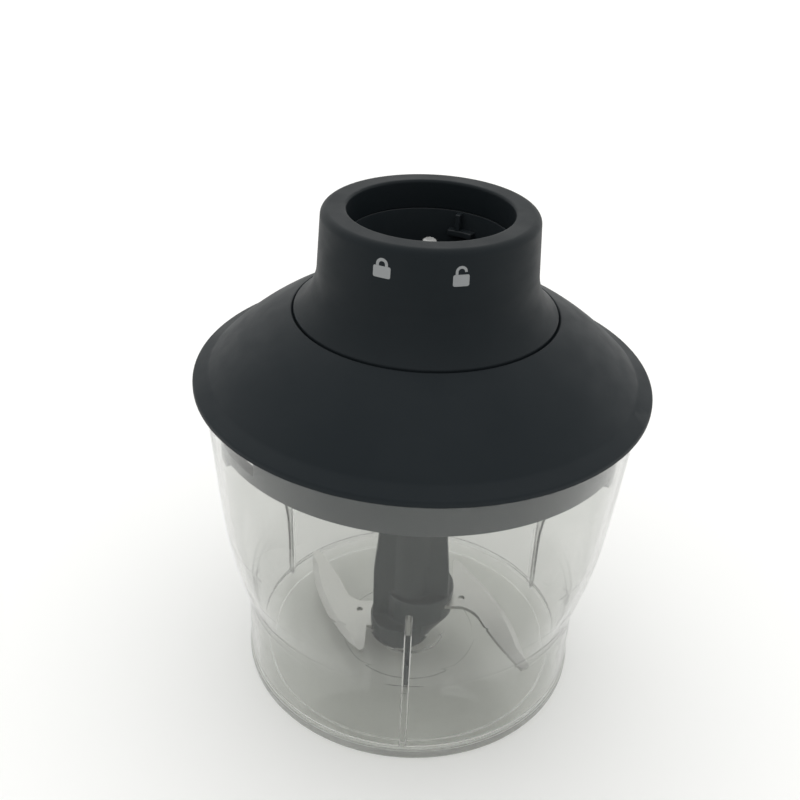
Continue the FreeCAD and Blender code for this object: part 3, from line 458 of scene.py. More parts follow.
def clear_plastic(name, rough):
    """Injection moulded clear plastic with a slow wave, faint haze and fine scuffs."""
    darker, lighter, tint = (0.76, 0.765, 0.75), (0.81, 0.815, 0.80), (0.885, 0.89, 0.878)
    paint = Paint(name, Transmission_Weight=1.0, IOR=1.43)
    slow = paint.noise(size=22.0, detail=2.0, stretch=(1.0, 1.0, 1.6))
    haze = paint.noise(size=6.0, detail=5.0, seed=(0.2, 0.6, 0.4))
    scuff = paint.noise(size=0.5, detail=3.0, stretch=(1.0, 1.0, 0.15), seed=(0.7, 0.2, 0.9))
    paint.set("Base Color", paint.blend(paint.spread(slow, 0.0, 1.0), darker, lighter))
    paint.set("Roughness", paint.spread(haze, *rough))
    paint.bump((slow, 0.35, 0.12), (scuff, 0.003, 0.15))
    lets_lamps_through(paint, tint)
    return paint.material


def make_materials():
    """Every material by name."""
    # Colour of the lighter convex edges: partly rubbed wear, partly a painted highlight.
    worn_and_highlit_black = (0.026, 0.03, 0.033)
    return {
        "clear_bowl": clear_plastic("clear_plastic", rough=(0.004, 0.025)),
        "frosted_bowl": clear_plastic("frosted_plastic", rough=(0.42, 0.5)),
        "lid_black": moulded(
            "lid_black", colour=(0.0105, 0.0145, 0.0175), lighter=(0.0135, 0.0175, 0.0205),
            rough=(0.46, 0.55), edge_wear_and_highlight=worn_and_highlit_black, Specular_IOR_Level=0.1,
        ),
        "collar_black": moulded(
            "collar_black", colour=(0.0085, 0.012, 0.0145), lighter=(0.0115, 0.015, 0.0175),
            rough=(0.44, 0.54), edge_wear_and_highlight=worn_and_highlit_black, Specular_IOR_Level=0.1,
        ),
        "coupling_black": moulded(
            "coupling_black", colour=(0.017, 0.0225, 0.0265), lighter=(0.0215, 0.0275, 0.032),
            rough=(0.38, 0.48), edge_wear_and_highlight=(0.03, 0.031, 0.033), Specular_IOR_Level=0.35,
        ),
        "ring_grey": moulded(
            "ring_grey", colour=(0.043, 0.052, 0.056), lighter=(0.054, 0.064, 0.068),
            rough=(0.38, 0.48), depth=0.012, edge_wear_and_highlight=(0.15, 0.16, 0.165),
        ),
        "hub_grey": moulded(
            "hub_grey", colour=(0.018, 0.027, 0.029), lighter=(0.025, 0.036, 0.038),
            rough=(0.18, 0.24), depth=0.012, edge_wear_and_highlight=(0.07, 0.085, 0.088),
        ),
        "gearbox_plastic": moulded(
            "gearbox_plastic", colour=(0.05, 0.05, 0.055), lighter=(0.07, 0.07, 0.075), rough=(0.45, 0.6),
        ),
        "gear_white": moulded(
            "gear_white", colour=(0.72, 0.71, 0.66), lighter=(0.8, 0.79, 0.75), rough=(0.28, 0.4),
            grain=0.5, depth=0.01,
        ),
        "seal_rubber": moulded(
            "seal_rubber", colour=(0.28, 0.28, 0.285), lighter=(0.34, 0.34, 0.345), rough=(0.6, 0.75),
            grain=0.6, depth=0.03,
        ),
        "steel": metal(
            "steel", colour=(0.25, 0.25, 0.246), darker=(0.22, 0.22, 0.217), rough=(0.14, 0.3),
            lines=(40.0, 40.0, 1.0),
        ),
        "gear_steel": metal(
            "gear_steel", colour=(0.5, 0.5, 0.52), darker=(0.42, 0.42, 0.44), rough=(0.24, 0.38),
            lines=(1.0, 1.0, 30.0),
        ),
        "blade_steel": metal(
            "blade_steel", colour=(0.53, 0.53, 0.515), darker=(0.5, 0.5, 0.487), rough=(0.3, 0.34),
            lines=(1.0, 30.0, 30.0), pitch=0.1, depth=0.0004,
        ),
        "blade_edge": metal(
            "blade_edge", colour=(0.5, 0.5, 0.49), darker=(0.46, 0.46, 0.45), rough=(0.3, 0.36),
            lines=(30.0, 1.0, 1.0), depth=0.001,
        ),
        "bronze": metal(
            "bronze", colour=(0.45, 0.3, 0.14), darker=(0.36, 0.23, 0.1), rough=(0.3, 0.5),
            lines=(1.0, 1.0, 1.0), pitch=0.4, depth=0.02,
        ),
        "print": moulded(
            "print", colour=(0.24, 0.25, 0.257), lighter=(0.275, 0.285, 0.29), rough=(0.5, 0.65),
            grain=0.2, depth=0.01,
        ),
    }


# ---------------------------------------------------------------- pieces

def bowl(clear, frosted):
    """Clear bowl with a waisted foot, three inner ribs and four bayonet lugs. Its underside is frosted."""
    wall = 1.8
    recess_r, recess_z = 44.0, 0.9
    foot_r, band_r, band_z = 49.7, 50.6, 3.2
    waist_r, waist_low_z, waist_top_z = 50.2, 3.7, 22.0
    flare_r, flare_z, flare_arc = 52.3, 33.5, 41.0
    shoulder_r, shoulder_z, shoulder_arc = 56.8, 58.0, 140.0
    rim_r, rim_z = 60.0, 96.4
    floor_z, floor_corner = 3.0, 1.6
    ring_inner_r, ring_outer_r, ring_z = 20.6, 21.4, 3.25
    boss_r, boss_z = 11.4, 4.1
    pin_r, pin_low_z = 3.0, 1.8
    inner_r = waist_r - wall
    shell = lathe("bowl_shell", [
        (0, recess_z),
        (recess_r, recess_z, 0.5),
        (recess_r, 0, 0.3),
        (foot_r, 0, 0.4),
        (band_r, recess_z, 0.5),
        (band_r, band_z, 0.4),
        (waist_r, waist_low_z, 0.3),
        (waist_r, waist_top_z, 3.0),
        Arc(flare_arc, False),
        (flare_r, flare_z, 4.5),
        Arc(shoulder_arc, True),
        (shoulder_r, shoulder_z, 5.0),
        (rim_r, rim_z, 0.7),
        (rim_r - wall, rim_z, 0.7),
        (shoulder_r - wall, shoulder_z, 5.0),
        Arc(shoulder_arc - wall, False),
        (flare_r - wall, flare_z, 4.5),
        Arc(flare_arc + wall, True),
        (inner_r, waist_top_z, 3.0),
        (inner_r, floor_z + floor_corner, 0.2),
        Arc(floor_corner, False),
        (inner_r - floor_corner, floor_z, 0.2),
        (ring_outer_r, floor_z, 0.1),
        (ring_outer_r, ring_z, 0.15),
        (ring_inner_r, ring_z, 0.15),
        (ring_inner_r, floor_z, 0.1),
        (boss_r, floor_z, 0.25),
        (boss_r, boss_z, 0.35),
        (pin_r, boss_z, 0.1),
        (pin_r, pin_low_z, 0.1),
        (0, pin_low_z),
    ])
    rib_inner_r, rib_root_r, rib_flare_r, rib_top_r = 46.7, 49.2, 51.3, 54.9
    rib_low_z, rib_top_z = 2.2, 52.0
    rib_half = 0.95
    rib_section = [
        (rib_inner_r, rib_low_z),
        (rib_root_r, rib_low_z),
        (rib_root_r, waist_top_z),
        (rib_flare_r, flare_z),
        (rib_top_r, rib_top_z),
        (rib_inner_r, rib_top_z),
    ]
    ribs = bmesh.new()
    for azimuth in RIB_ANGLES:
        stand = Matrix.Rotation(math.radians(azimuth), 4, "Z") @ UPRIGHT
        prism(ribs, rib_section, -rib_half, rib_half, stand, soften=0.5)
    combine(shell, finish_mesh(ribs, "ribs"), "UNION")
    lug_inner_r, lug_root_r = 54.9, 58.4
    lug_low_z, lug_top_z = 89.2, 91.7
    lug_angle = 8.0
    lugs = sectors("lugs", [
        (lug_inner_r, lug_root_r, lug_low_z, lug_top_z, azimuth, lug_angle) for azimuth in LUG_ANGLES
    ], soften=0.35)
    combine(shell, lugs, "UNION")
    weld(shell)
    shade(shell)
    for material in (clear, frosted):
        shell.data.materials.append(material)
    underside_z, facing_down = 1.0, -0.5
    for face in shell.data.polygons:
        if face.center.z < underside_z * MM and face.normal.z < facing_down:
            face.material_index = 1
    return shell


def hub():
    """Hub with its bores; its outside is one moulding, made by a remesh of its parts and rounded."""
    turns = 96
    foot_r, low_z = 6.8, 4.5
    core_r, core_top_z = 6.5, 70.0
    head_r, head_z, top_z = 10.8, 74.3, 82.2
    wing_low_r, wing_mid_r, wing_top_r, wing_half = 11.6, 10.5, 9.8, 4.1
    wing_foot_z, wing_back_z, wing_low_z, wing_mid_z, wing_top_z = 9.0, 10.0, 30.0, 42.0, 71.0
    lower_x, lower_y, lower_r, lower_top_z = -2.8, -2.0, 9.5, 12.0
    upper_x, upper_y, upper_r = 2.6, 1.6, 11.0
    upper_low_z, upper_top_z = 13.0, 21.5
    body = lathe("hub_moulding", [
        (0, low_z),
        (foot_r, low_z),
        (core_r, upper_low_z),
        (core_r, core_top_z),
        (head_r, head_z),
        (head_r, top_z),
        (0, top_z),
    ])
    mesh = bmesh.new()
    mesh.from_mesh(body.data)
    wings = [
        (wing_low_r, upper_low_z),
        (wing_low_r, wing_low_z),
        (wing_mid_r, wing_mid_z),
        (wing_top_r, wing_top_z),
        (-wing_top_r, wing_top_z),
        (-wing_mid_r, wing_mid_z),
        (-wing_low_r, wing_low_z),
        (-wing_low_r, wing_back_z),
        (-core_r, wing_foot_z),
    ]
    prism(mesh, wings, -wing_half, wing_half, UPRIGHT)
    rod(mesh, lower_x, lower_y, lower_r, low_z, lower_top_z, turns)
    rod(mesh, upper_x, upper_y, upper_r, upper_low_z, upper_top_z, turns)
    taper_foot = ring(mesh, 0, 0, foot_r, low_z, turns)
    taper_head = ring(mesh, upper_x, upper_y, upper_r, upper_low_z, turns)
    for k in range(turns):
        following = (k + 1) % turns
        mesh.faces.new((taper_foot[k], taper_foot[following], taper_head[following], taper_head[k]))
    mesh.faces.new(taper_foot[::-1])
    mesh.faces.new(taper_head)
    bmesh.ops.recalc_face_normals(mesh, faces=mesh.faces)
    mesh.to_mesh(body.data)
    mesh.free()
    remesh = body.modifiers.new("Weld", "REMESH")
    remesh.mode = "VOXEL"
    remesh.voxel_size = 0.34 * MM
    smooth = body.modifiers.new("Round", "SMOOTH")
    smooth.factor = 0.5
    smooth.iterations = 9
    apply_modifiers(body)
    bush_r, bush_top_z = 5.02, 17.0
    bore_r, bore_top_z = 3.3, 64.0
    past_low_z = low_z - 1
    bore = lathe("bore", [
        (0, past_low_z),
        (bush_r, past_low_z),
        (bush_r, bush_top_z),
        (bore_r, bush_top_z),
        (bore_r, bore_top_z),
        (0, bore_top_z),
    ], corner=0.05, turns=turns)
    combine(body, bore, "DIFFERENCE")
    socket_r, tooth_r, socket_z, past_top_z = 8.7, 5.4, 76.0, 84.0
    core = [(0, socket_z), (tooth_r, socket_z), (tooth_r, past_top_z), (0, past_top_z)]
    combine(body, lathe("socket", core, corner=0.1, turns=turns), "DIFFERENCE")
    space_inner_r, space_angle = 4.6, 136.0
    spaces = sectors("spaces", [
        (space_inner_r, socket_r, socket_z, past_top_z, azimuth, space_angle) for azimuth in (0, 180)
    ])
    combine(body, spaces, "DIFFERENCE")
    past_hub = 15.0
    slots = bmesh.new()
    for level, near, far in ((UPPER_BLADE_Z, TONGUE_R, past_hub), (LOWER_BLADE_Z, -past_hub, -TONGUE_R)):
        slot = [(near, -TONGUE_HALF), (far, -TONGUE_HALF), (far, TONGUE_HALF), (near, TONGUE_HALF)]
        prism(slots, slot, level, level + BLADE_THICKNESS)
    combine(body, finish_mesh(slots, "slots"), "DIFFERENCE")
    drop_crumbs(body)
    shade(body, sharp=50)
    return body


def blade(name, level, azimuth):
    """Steel plate with a ground edge that fades out at both ends of its curved, leading side."""
    ground, bevel, fade_steps = 1.8, 0.85, 7
    tip_lead, tip_trail, tip_arc = (34.6, -27.6), (32.6, -29.4), 1.5
    nose_end, heel, nose_arc = (15.0, 16.8), (13.4, 15.6), 1.5
    root_start, back_start, root_arc = (16.4, -5.6), (21.3, -9.6), 9.0
    lead_arc, back_arc = 76.0, 90.0
    hole_x, hole_y, hole_r, hole_turns = 16.1, -1.4, 1.0, 24
    lead = arc_points(tip_lead, nose_end, Arc(lead_arc, True))
    nose = arc_points(nose_end, heel, Arc(nose_arc, True))
    tip = arc_points(tip_trail, tip_lead, Arc(tip_arc, True))
    back = arc_points(back_start, tip_trail, Arc(back_arc, True))
    root = arc_points(root_start, back_start, Arc(root_arc, False))
    points = root[:-1] + back[:-1] + tip[:-1] + lead + nose[1:]
    points += [(heel[0], TONGUE_HALF), (TONGUE_R, TONGUE_HALF), (TONGUE_R, -TONGUE_HALF)]
    first = len(root) + len(back) + len(tip) - 3
    count = len(points)
    share = {}
    for step in range(len(lead)):
        reach = min(1.0, min(step, len(lead) - 1 - step) / fade_steps)
        share[first + step] = reach ** 2 * (3 - 2 * reach)
    angles = [2 * math.pi * k / hole_turns for k in range(hole_turns)]
    hole = [(hole_x + hole_r * math.cos(angle), hole_y + hole_r * math.sin(angle)) for angle in angles]
    mesh = bmesh.new()
    lower, middle, upper = [], [], []
    for k, (x, y) in enumerate(points):
        (ax, ay), (bx, by) = points[k - 1], points[(k + 1) % count]
        size = math.hypot(bx - ax, by - ay)
        out_x, out_y = (by - ay) / size, -(bx - ax) / size
        part = share.get(k, 0.0)
        lower.append(mesh.verts.new((x * MM, y * MM, 0)))
        middle.append(mesh.verts.new((x * MM, y * MM, (BLADE_THICKNESS - bevel * part) * MM)))
        if part > 0:
            inset = ground * part
            top = ((x - inset * out_x) * MM, (y - inset * out_y) * MM, BLADE_THICKNESS * MM)
            upper.append(mesh.verts.new(top))
        else:
            upper.append(middle[-1])
    ground_faces = []
    for k in range(count):
        following = (k + 1) % count
        mesh.faces.new((lower[k], lower[following], middle[following], middle[k]))
        corners = [middle[k], middle[following]]
        corners += [vertex for vertex in (upper[following], upper[k]) if vertex not in corners]
        if len(corners) > 2:
            ground_faces.append(mesh.faces.new(corners))
    hole_low = [mesh.verts.new((x * MM, y * MM, 0)) for x, y in hole]
    hole_high = [mesh.verts.new((x * MM, y * MM, BLADE_THICKNESS * MM)) for x, y in hole]
    for k in range(hole_turns):
        following = (k + 1) % hole_turns
        mesh.faces.new((hole_low[k], hole_high[k], hole_high[following], hole_low[following]))
    for rim, inner in ((lower, hole_low), (upper, hole_high)):
        loops = [[vertex.co for vertex in rim], [vertex.co for vertex in inner]]
        vertices = rim + inner
        for triangle in tessellate_polygon(loops):
            mesh.faces.new([vertices[index] for index in triangle])
    triangles = [face for face in mesh.faces if len(face.verts) == 3]
    bmesh.ops.join_triangles(mesh, faces=triangles, angle_face_threshold=0.01, angle_shape_threshold=math.pi)
    for face in ground_faces:
        if face.is_valid:
            face.material_index = 1
    turn = Matrix.Translation((0, 0, level * MM)) @ Matrix.Rotation(math.radians(azimuth), 4, "Z")
    bmesh.ops.transform(mesh, matrix=turn, verts=mesh.verts)
    return finish_mesh(mesh, name, sharp=20)


def seal():
    """Soft ring on the bowl's rim."""
    inner_r, outer_r, lip = 57.2, 60.3, 0.5
    low_z, top_z = 96.5, 98.3
    return lathe("seal_ring", [
        (inner_r, low_z),
        (outer_r, low_z),
        (outer_r, top_z - lip, 0.4),
        (outer_r - lip, top_z, 0.3),
        (inner_r + lip, top_z, 0.3),
        (inner_r, top_z - lip, 0.4),
    ])


def screw_rods(name, radius, low, high):
    """A rod at each of the lid's screws."""
    mesh = bmesh.new()
    for azimuth in LID_SCREW_ANGLES:
        rod(mesh, *on_circle(LID_SCREW_CIRCLE, azimuth), radius, low, high)
    return finish_mesh(mesh, name)


def lid_plug():
    """Grey plug with its bayonet slots, the deck behind it and the well for the gearbox."""
    outer_r, inner_r, low_z, top_z = 56.7, 54.4, 85.5, 99.0
    deck_low_z, deck_top_z = 94.5, 97.0
    well_outer_r, well_inner_r, well_low_z, well_floor_z = 33.2, 31.0, 83.0, 85.0
    seal_hole_r = 7.5
    plug = lathe("lid_plug", [
        (seal_hole_r, well_low_z),
        (well_outer_r, well_low_z, 0.5),
        (well_outer_r, deck_low_z),
        (inner_r, deck_low_z),
        (inner_r, low_z),
        (outer_r, low_z, 0.45),
        (outer_r, top_z),
        (inner_r, top_z),
        (inner_r, deck_top_z),
        (well_inner_r, deck_top_z),
        (well_inner_r, well_floor_z),
        (seal_hole_r, well_floor_z),
    ])
    slot_half, slot_low_z, slot_top_z = 5.5, 88.6, 92.4
    tab_angle, tab_low_z, tab_top_z = 5.5, 83.2, 86.2
    lock_turn = 20.0
    past_inner_r, past_outer_r, past_low_z = inner_r - 1, outer_r + 1, tab_low_z - 1
    tab_sides = (-1, 1, -1, 1)
    tabs, entries, runs = [], [], []
    for azimuth, side in zip(LUG_ANGLES, tab_sides):
        tab_azimuth = azimuth + side * (slot_half + tab_angle / 2)
        run_angle = 2 * slot_half + lock_turn
        tabs.append((inner_r, outer_r, tab_low_z, tab_top_z, tab_azimuth, tab_angle))
        entries.append((past_inner_r, past_outer_r, past_low_z, slot_top_z, azimuth, 2 * slot_half))
        runs.append((past_inner_r, past_outer_r, slot_low_z, slot_top_z, azimuth + lock_turn / 2, run_angle))
    combine(plug, sectors("tabs", tabs), "UNION")
    combine(plug, sectors("entries", entries), "DIFFERENCE")
    combine(plug, sectors("runs", runs), "DIFFERENCE")
    clearance_r = 1.6
    combine(plug, screw_rods("holes", clearance_r, deck_low_z - 1, deck_top_z + 1), "DIFFERENCE")
    weld(plug)
    shade(plug)
    return plug


def lid_cone():
    """Dark cover: a brim, a slightly domed cone and a ledge for the collar."""
    outer_r, low_z, brim_z = 62.5, 97.5, 99.1
    crease_r, crease_z = 58.3, 100.95
    top_r, top_z, cone_arc = 35.9, 117.6, 81.0
    ledge_r, ledge_under_z = 30.6, 114.7
    under_r, under_arc = 34.0, 79.0
    brim_under_r, brim_under_z = 57.4, 99.2
    lip_r, lip_z = 61.0, 98.7
    cone = lathe("lid_cone", [
        (outer_r, low_z, 0.3),
        (outer_r, brim_z, 0.75),
        (crease_r, crease_z, 0.7),
        Arc(cone_arc, True),
        (top_r, top_z, 0.3),
        (SEAM_R, LEDGE_Z, 0.2),
        (ledge_r, LEDGE_Z),
        (ledge_r, ledge_under_z),
        (under_r, ledge_under_z),
        Arc(under_arc, False),
        (brim_under_r, brim_under_z),
        (lip_r, lip_z),
        (lip_r, low_z, 0.3),
    ])
    boss_r, boss_low_z, boss_top_z = 3.6, 97.0, 111.0
    pilot_r, pilot_top_z = 1.4, 106.0
    combine(cone, screw_rods("bosses", boss_r, boss_low_z, boss_top_z), "UNION")
    combine(cone, screw_rods("pilots", pilot_r, boss_low_z - 1, pilot_top_z), "DIFFERENCE")
    weld(cone)
    shade(cone)
    return cone


def collar():
    """Collar that receives the motor unit: a flared outer skin, a flat top and a short bore."""
    wall = 2.3
    foot_z, flare_arc = 118.0, 15.5
    top_round, flat_r, top_z = 2.1, 26.2, 145.2
    bore_r, bore_round, bore_low_z = 21.5, 0.8, 137.4
    skirt_r, plate_z = 23.6, 142.6
    return lathe("collar_shell", [
        (SEAM_R, LEDGE_Z, 0.15),
        (SEAM_R, foot_z, 0.3),
        Arc(flare_arc, False),
        (NECK_R, NECK_Z, 0.5),
        (SHOULDER_R, SHOULDER_Z, 0.3),
        Arc(top_round, True),
        (flat_r, top_z, 0.3),
        (bore_r + bore_round, top_z, 0.3),
        Arc(bore_round, True),
        (bore_r, top_z - bore_round, 0.2),
        (bore_r, bore_low_z),
        (skirt_r, bore_low_z),
        (skirt_r, plate_z),
        (SHOULDER_R - wall, plate_z),
        (NECK_R - wall, NECK_Z),
        Arc(flare_arc + wall, True),
        (SEAM_R - wall, foot_z),
        (SEAM_R - wall, LEDGE_Z),
    ])


def socket_cup():
    """Cup under the collar with two L-shaped bayonet ribs. It is 0.6 mm wider inside than its CAD node."""
    hole_r, flange_r, flange_low_z, floor_z = 9.0, 30.4, 114.7, 116.9
    outer_r, outer_top_z = 23.4, 137.2
    inner_r, inner_top_z = 21.4, 137.3
    cup = lathe("socket_cup", [
        (hole_r, flange_low_z),
        (flange_r, flange_low_z),
        (flange_r, floor_z),
        (outer_r, floor_z),
        (outer_r, outer_top_z, 0.4),
        (inner_r, inner_top_z, 0.15),
        (inner_r, floor_z, 0.8),
        (hole_r, floor_z, 0.5),
    ])
    bar_inner_r, bar_root_r, bar_low_z, bar_top_z = 19.2, 22.2, 130.7, 132.4
    bar_offset, bar_angle = -2.5, 21.0
    stem_inner_r, stem_root_r, stem_low_z, stem_top_z = 19.3, 22.3, 131.5, 137.0
    stem_angle = 4.3
    bars = sectors("bars", [
        (bar_inner_r, bar_root_r, bar_low_z, bar_top_z, azimuth + bar_offset, bar_angle)
        for azimuth in LATCH_ANGLES
    ], soften=0.3)
    combine(cup, bars, "UNION")
    stems = sectors("stems", [
        (stem_inner_r, stem_root_r, stem_low_z, stem_top_z, azimuth, stem_angle) for azimuth in LATCH_ANGLES
    ], soften=0.3)
    combine(cup, stems, "UNION")
    weld(cup)
    drop_crumbs(cup)
    shade(cup)
    return cup


def wrapped(name, shapes, azimuth, low):
    """Outlines printed on the collar, cut into strips and bent round its slightly conical wall."""
    strips, strip_width = 12, 0.25
    proud, sunk, on_plane = 0.03, -0.04, 1e-5
    mesh = bmesh.new()
    for shape in shapes:
        vertices = [mesh.verts.new((x, y, 0)) for x, y in shape]
        for triangle in tessellate_polygon([[vertex.co for vertex in vertices]]):
            mesh.faces.new([vertices[index] for index in triangle])
    for k in range(-strips, strips + 1):
        geometry = mesh.verts[:] + mesh.edges[:] + mesh.faces[:]
        cut_at = (k * strip_width, 0, 0)
        bmesh.ops.bisect_plane(mesh, geom=geometry, plane_co=cut_at, plane_no=(1, 0, 0), dist=on_plane)
    bmesh.ops.remove_doubles(mesh, verts=mesh.verts, dist=WELD)
    bmesh.ops.dissolve_degenerate(mesh, edges=mesh.edges, dist=WELD)
    bmesh.ops.recalc_face_normals(mesh, faces=mesh.faces)
    raised = bmesh.ops.extrude_face_region(mesh, geom=mesh.faces[:])
    outer = {item for item in raised["geom"] if isinstance(item, bmesh.types.BMVert)}
    for vertex in mesh.verts:
        across, up = vertex.co.x, low + vertex.co.y
        wall_r = NECK_R - (NECK_R - SHOULDER_R) * (up - NECK_Z) / (SHOULDER_Z - NECK_Z)
        radius = wall_r + (proud if vertex in outer else sunk)
        angle = math.radians(azimuth) + across / wall_r
        vertex.co = Vector((radius * math.cos(angle), radius * math.sin(angle), up)) * MM
    return finish_mesh(mesh, name, sharp=40)


def rounded_box(half, high, corner):
    """Outline of a box with rounded corners, from its foot at 0 up."""
    steps = 5
    points = []
    for x, y, start in ((half - corner, corner, -90), (half - corner, high - corner, 0),
                        (corner - half, high - corner, 90), (corner - half, corner, 180)):
        for k in range(steps + 1):
            dx, dy = on_circle(corner, start + 90 * k / steps)
            points.append((x + dx, y + dy))
    return points


def shackle(outer, inner, foot, spring, right_foot):
    """Arched band of a padlock, from its left foot over to its right one."""
    steps = 18
    arch = [on_circle(1.0, 180 - 180 * k / steps) for k in range(steps + 1)]
    points = [(-outer, foot)] + [(outer * x, spring + outer * y) for x, y in arch] + [(outer, right_foot)]
    points += [(inner, right_foot)] + [(inner * x, spring + inner * y) for x, y in reversed(arch)]
    return points + [(-inner, foot)]


def marks():
    """Two generic padlocks, closed and open, printed on the front of the collar."""
    body_top = 2.9
    foot = body_top + 0.03
    lift = 0.6
    locked = [
        rounded_box(half=2.25, high=body_top, corner=0.45),
        shackle(outer=1.55, inner=0.8, foot=foot, spring=3.3, right_foot=foot),
    ]
    opened = [
        rounded_box(half=2.0, high=body_top, corner=0.5),
        shackle(outer=1.45, inner=0.8, foot=foot, spring=3.6, right_foot=foot + lift),
    ]
    locked_azimuth, locked_z = -112.4, 137.2
    opened_azimuth, opened_z = -73.9, 136.5
    return (
        wrapped("mark_locked", locked, locked_azimuth, locked_z),
        wrapped("mark_unlocked", opened, opened_azimuth, opened_z),
    )


CARRIED = {
    "steel": [
        "bowl_pin", "output_spindle", "input_shaft", "planet_pin_1", "planet_pin_2", "planet_pin_3",
        "lid_screws", "gearbox_screws", "shaft_clip",
    ],
    "bronze": ["hub_bush", "output_bush", "input_bush"],
    "gearbox_plastic": ["gearbox_housing", "gearbox_cover", "planet_carrier"],
    "gear_white": ["planet_gear_1", "planet_gear_2", "planet_gear_3", "thrust_washer"],
    "gear_steel": ["sun_gear", "ring_gear"],
    "seal_rubber": ["shaft_seal"],
    "coupling_black": ["drive_coupling"],
}


def carry_over(materials):
    """Give the CAD nodes that stay a finish, small edge roundings and even shading."""
    rounding, edge_angle = 0.12, 50
    for slot, names in CARRIED.items():
        for name in names:
            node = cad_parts[name]
            node.data.materials.clear()
            node.data.materials.append(materials[slot])
            round_edges = node.modifiers.new("Edges", "BEVEL")
            round_edges.width = rounding * MM
            round_edges.segments = 2
            round_edges.limit_method = "ANGLE"
            round_edges.angle_limit = math.radians(edge_angle)
            round_edges.harden_normals = False
            even_normals(node)


def place(piece, body, material, slot, *nodes):
    """Give a finished piece its body, hide the CAD nodes it stands for and, if it has none, give it its
    material; slot is not used.
    """
    even_normals(piece)
    if material:
        piece.data.materials.append(material)
    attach(piece, body)
    if nodes:
        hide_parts(*nodes)


# ---------------------------------------------------------------- camera, floor and light

# In metres, radians and, for the lens and the sensor, millimetres.
CAMERA_PLACE = (0.0, -0.247495, 0.236223)
PITCH, YAW, ROLL = 0.538751806, -0.0237570858, 0.0422446945
LENS, SENSOR = 46.106, 36.0
FLOOR_HALF, FLOOR_Z = 12.0, -0.0002


def make_camera():
    """Camera in front of and above the attachment, looking down at it."""
    forward = Vector((math.sin(YAW) * math.cos(PITCH), math.cos(YAW) * math.cos(PITCH), -math.sin(PITCH)))
    level_right = Vector((math.cos(YAW), -math.sin(YAW), 0))
    level_up = level_right.cross(forward)
    right = level_right * math.cos(ROLL) + level_up * math.sin(ROLL)
    up = level_up * math.cos(ROLL) - level_right * math.sin(ROLL)
    data = bpy.data.cameras.new("Camera")
    data.lens = LENS
    data.sensor_width = SENSOR
    data.clip_start = 0.01
    data.clip_end = 50.0
    camera = bpy.data.objects.new("Camera", data)
    camera.matrix_world = Matrix((
        (right.x, up.x, -forward.x, CAMERA_PLACE[0]),
        (right.y, up.y, -forward.y, CAMERA_PLACE[1]),
        (right.z, up.z, -forward.z, CAMERA_PLACE[2]),
        (0, 0, 0, 1),
    ))
    bpy.context.scene.collection.objects.link(camera)
    bpy.context.scene.camera = camera


def make_floor():
    """Wide pale floor just under the bowl's foot."""
    mesh = bmesh.new()
    corners = ((-1, -1), (1, -1), (1, 1), (-1, 1))
    mesh.faces.new([mesh.verts.new((x * FLOOR_HALF, y * FLOOR_HALF, FLOOR_Z)) for x, y in corners])
    floor = finish_mesh(mesh, "floor")
    darker, lighter = (0.93, 0.93, 0.925), (0.95, 0.95, 0.945)
    paint = Paint("floor_white", Specular_IOR_Level=0.2)
    soft = paint.noise(size=400.0, detail=2.0)
    paint.set("Base Color", paint.blend(paint.spread(soft, 0.0, 1.0), darker, lighter))
    paint.set("Roughness", paint.spread(soft, 0.6, 0.7))
    floor.data.materials.append(paint.material)


def area_light(name, place_at, look_at, size, power):
    """Rectangular lamp that is turned towards a point."""
    data = bpy.data.lights.new(name, "AREA")
    data.shape = "RECTANGLE"
    data.size, data.size_y = size
    data.energy = power
    light = bpy.data.objects.new(name, data)
    light.location = place_at
    light.rotation_euler = (Vector(look_at) - Vector(place_at)).to_track_quat("-Z", "Y").to_euler()
    bpy.context.scene.collection.objects.link(light)


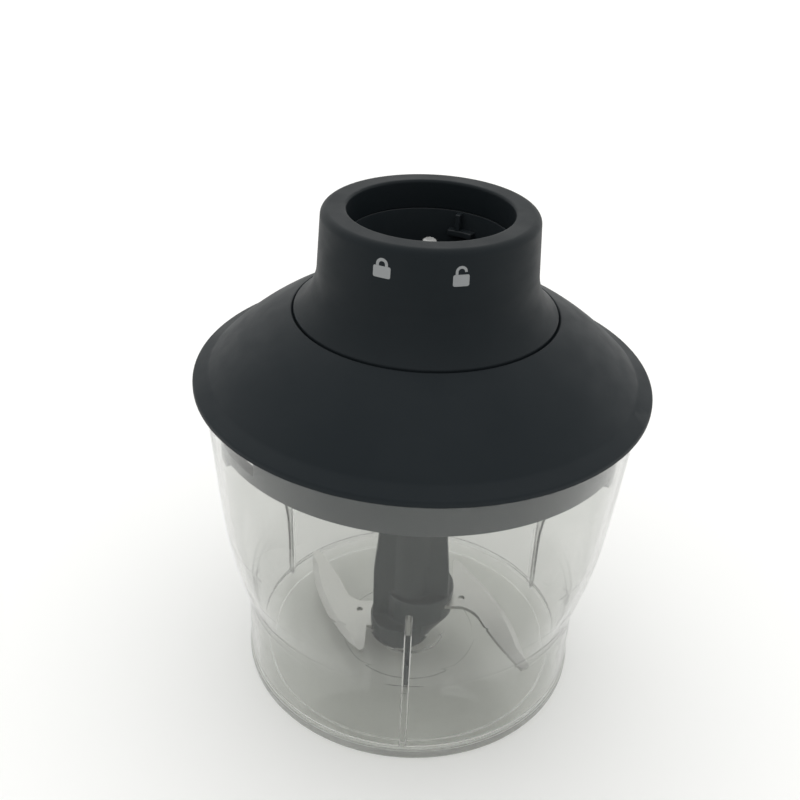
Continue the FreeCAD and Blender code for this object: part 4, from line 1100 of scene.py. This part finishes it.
def make_sky():
    """White surroundings that are brighter behind the attachment than in front of it."""
    world = bpy.data.worlds.new("Studio")
    world.use_nodes = True
    tree = world.node_tree
    sky = tree.nodes["Background"]
    sky.inputs["Color"].default_value = (1.0, 1.0, 0.985, 1.0)
    direction = tree.nodes.new("ShaderNodeTexCoord")
    parts = tree.nodes.new("ShaderNodeSeparateXYZ")
    tree.links.new(direction.outputs["Generated"], parts.inputs["Vector"])
    depth = tree.nodes.new("ShaderNodeMapRange")
    depth.inputs["From Min"].default_value = -0.9
    depth.inputs["From Max"].default_value = 0.6
    depth.inputs["To Min"].default_value = 0.75
    depth.inputs["To Max"].default_value = 1.3
    tree.links.new(parts.outputs["Y"], depth.inputs["Value"])
    tree.links.new(depth.outputs["Result"], sky.inputs["Strength"])
    bpy.context.scene.world = world


def make_light():
    """Soft light from behind and above, with enough bounces for the clear walls."""
    make_sky()
    area_light("key", place_at=(-0.35, 0.75, 1.15), look_at=(0, 0, 0.08), size=(1.1, 0.9), power=1.2)
    area_light("top", place_at=(0.25, -0.1, 1.5), look_at=(0, 0, 0.05), size=(1.4, 1.4), power=1.2)
    scene = bpy.context.scene
    scene.view_settings.view_transform = "Standard"
    scene.view_settings.look = "None"
    scene.cycles.caustics_reflective = False
    scene.cycles.caustics_refractive = False
    scene.cycles.max_bounces = 48
    scene.cycles.transmission_bounces = 48
    scene.cycles.transparent_max_bounces = 24


# ---------------------------------------------------------------- the scene

make_camera()
make_floor()
make_light()
materials = make_materials()
place(bowl(materials["clear_bowl"], materials["frosted_bowl"]), "bowl", None, "clear_bowl", "bowl")
place(hub(), "blade", materials["hub_grey"], "hub_grey", "blade_hub")
for blade_name, level, azimuth, node in (
    ("blade_low", LOWER_BLADE_Z, 180, "blade_lower"),
    ("blade_high", UPPER_BLADE_Z, 0, "blade_upper"),
):
    plate = blade(blade_name, level, azimuth)
    plate.data.materials.append(materials["blade_steel"])
    plate.data.materials.append(materials["blade_edge"])
    place(plate, "blade", None, "blade_steel", node)
place(seal(), "seal", materials["seal_rubber"], "seal_rubber", "lid_seal")
place(lid_plug(), "lid", materials["ring_grey"], "ring_grey", "lid_base")
place(lid_cone(), "lid", materials["lid_black"], "lid_black", "lid_cover")
place(collar(), "lid", materials["collar_black"], "collar_black", "coupling_collar")
place(socket_cup(), "lid", materials["coupling_black"], "coupling_black", "coupling_socket")
for mark in marks():
    place(mark, "lid", materials["print"], "lock_print")
carry_over(materials)
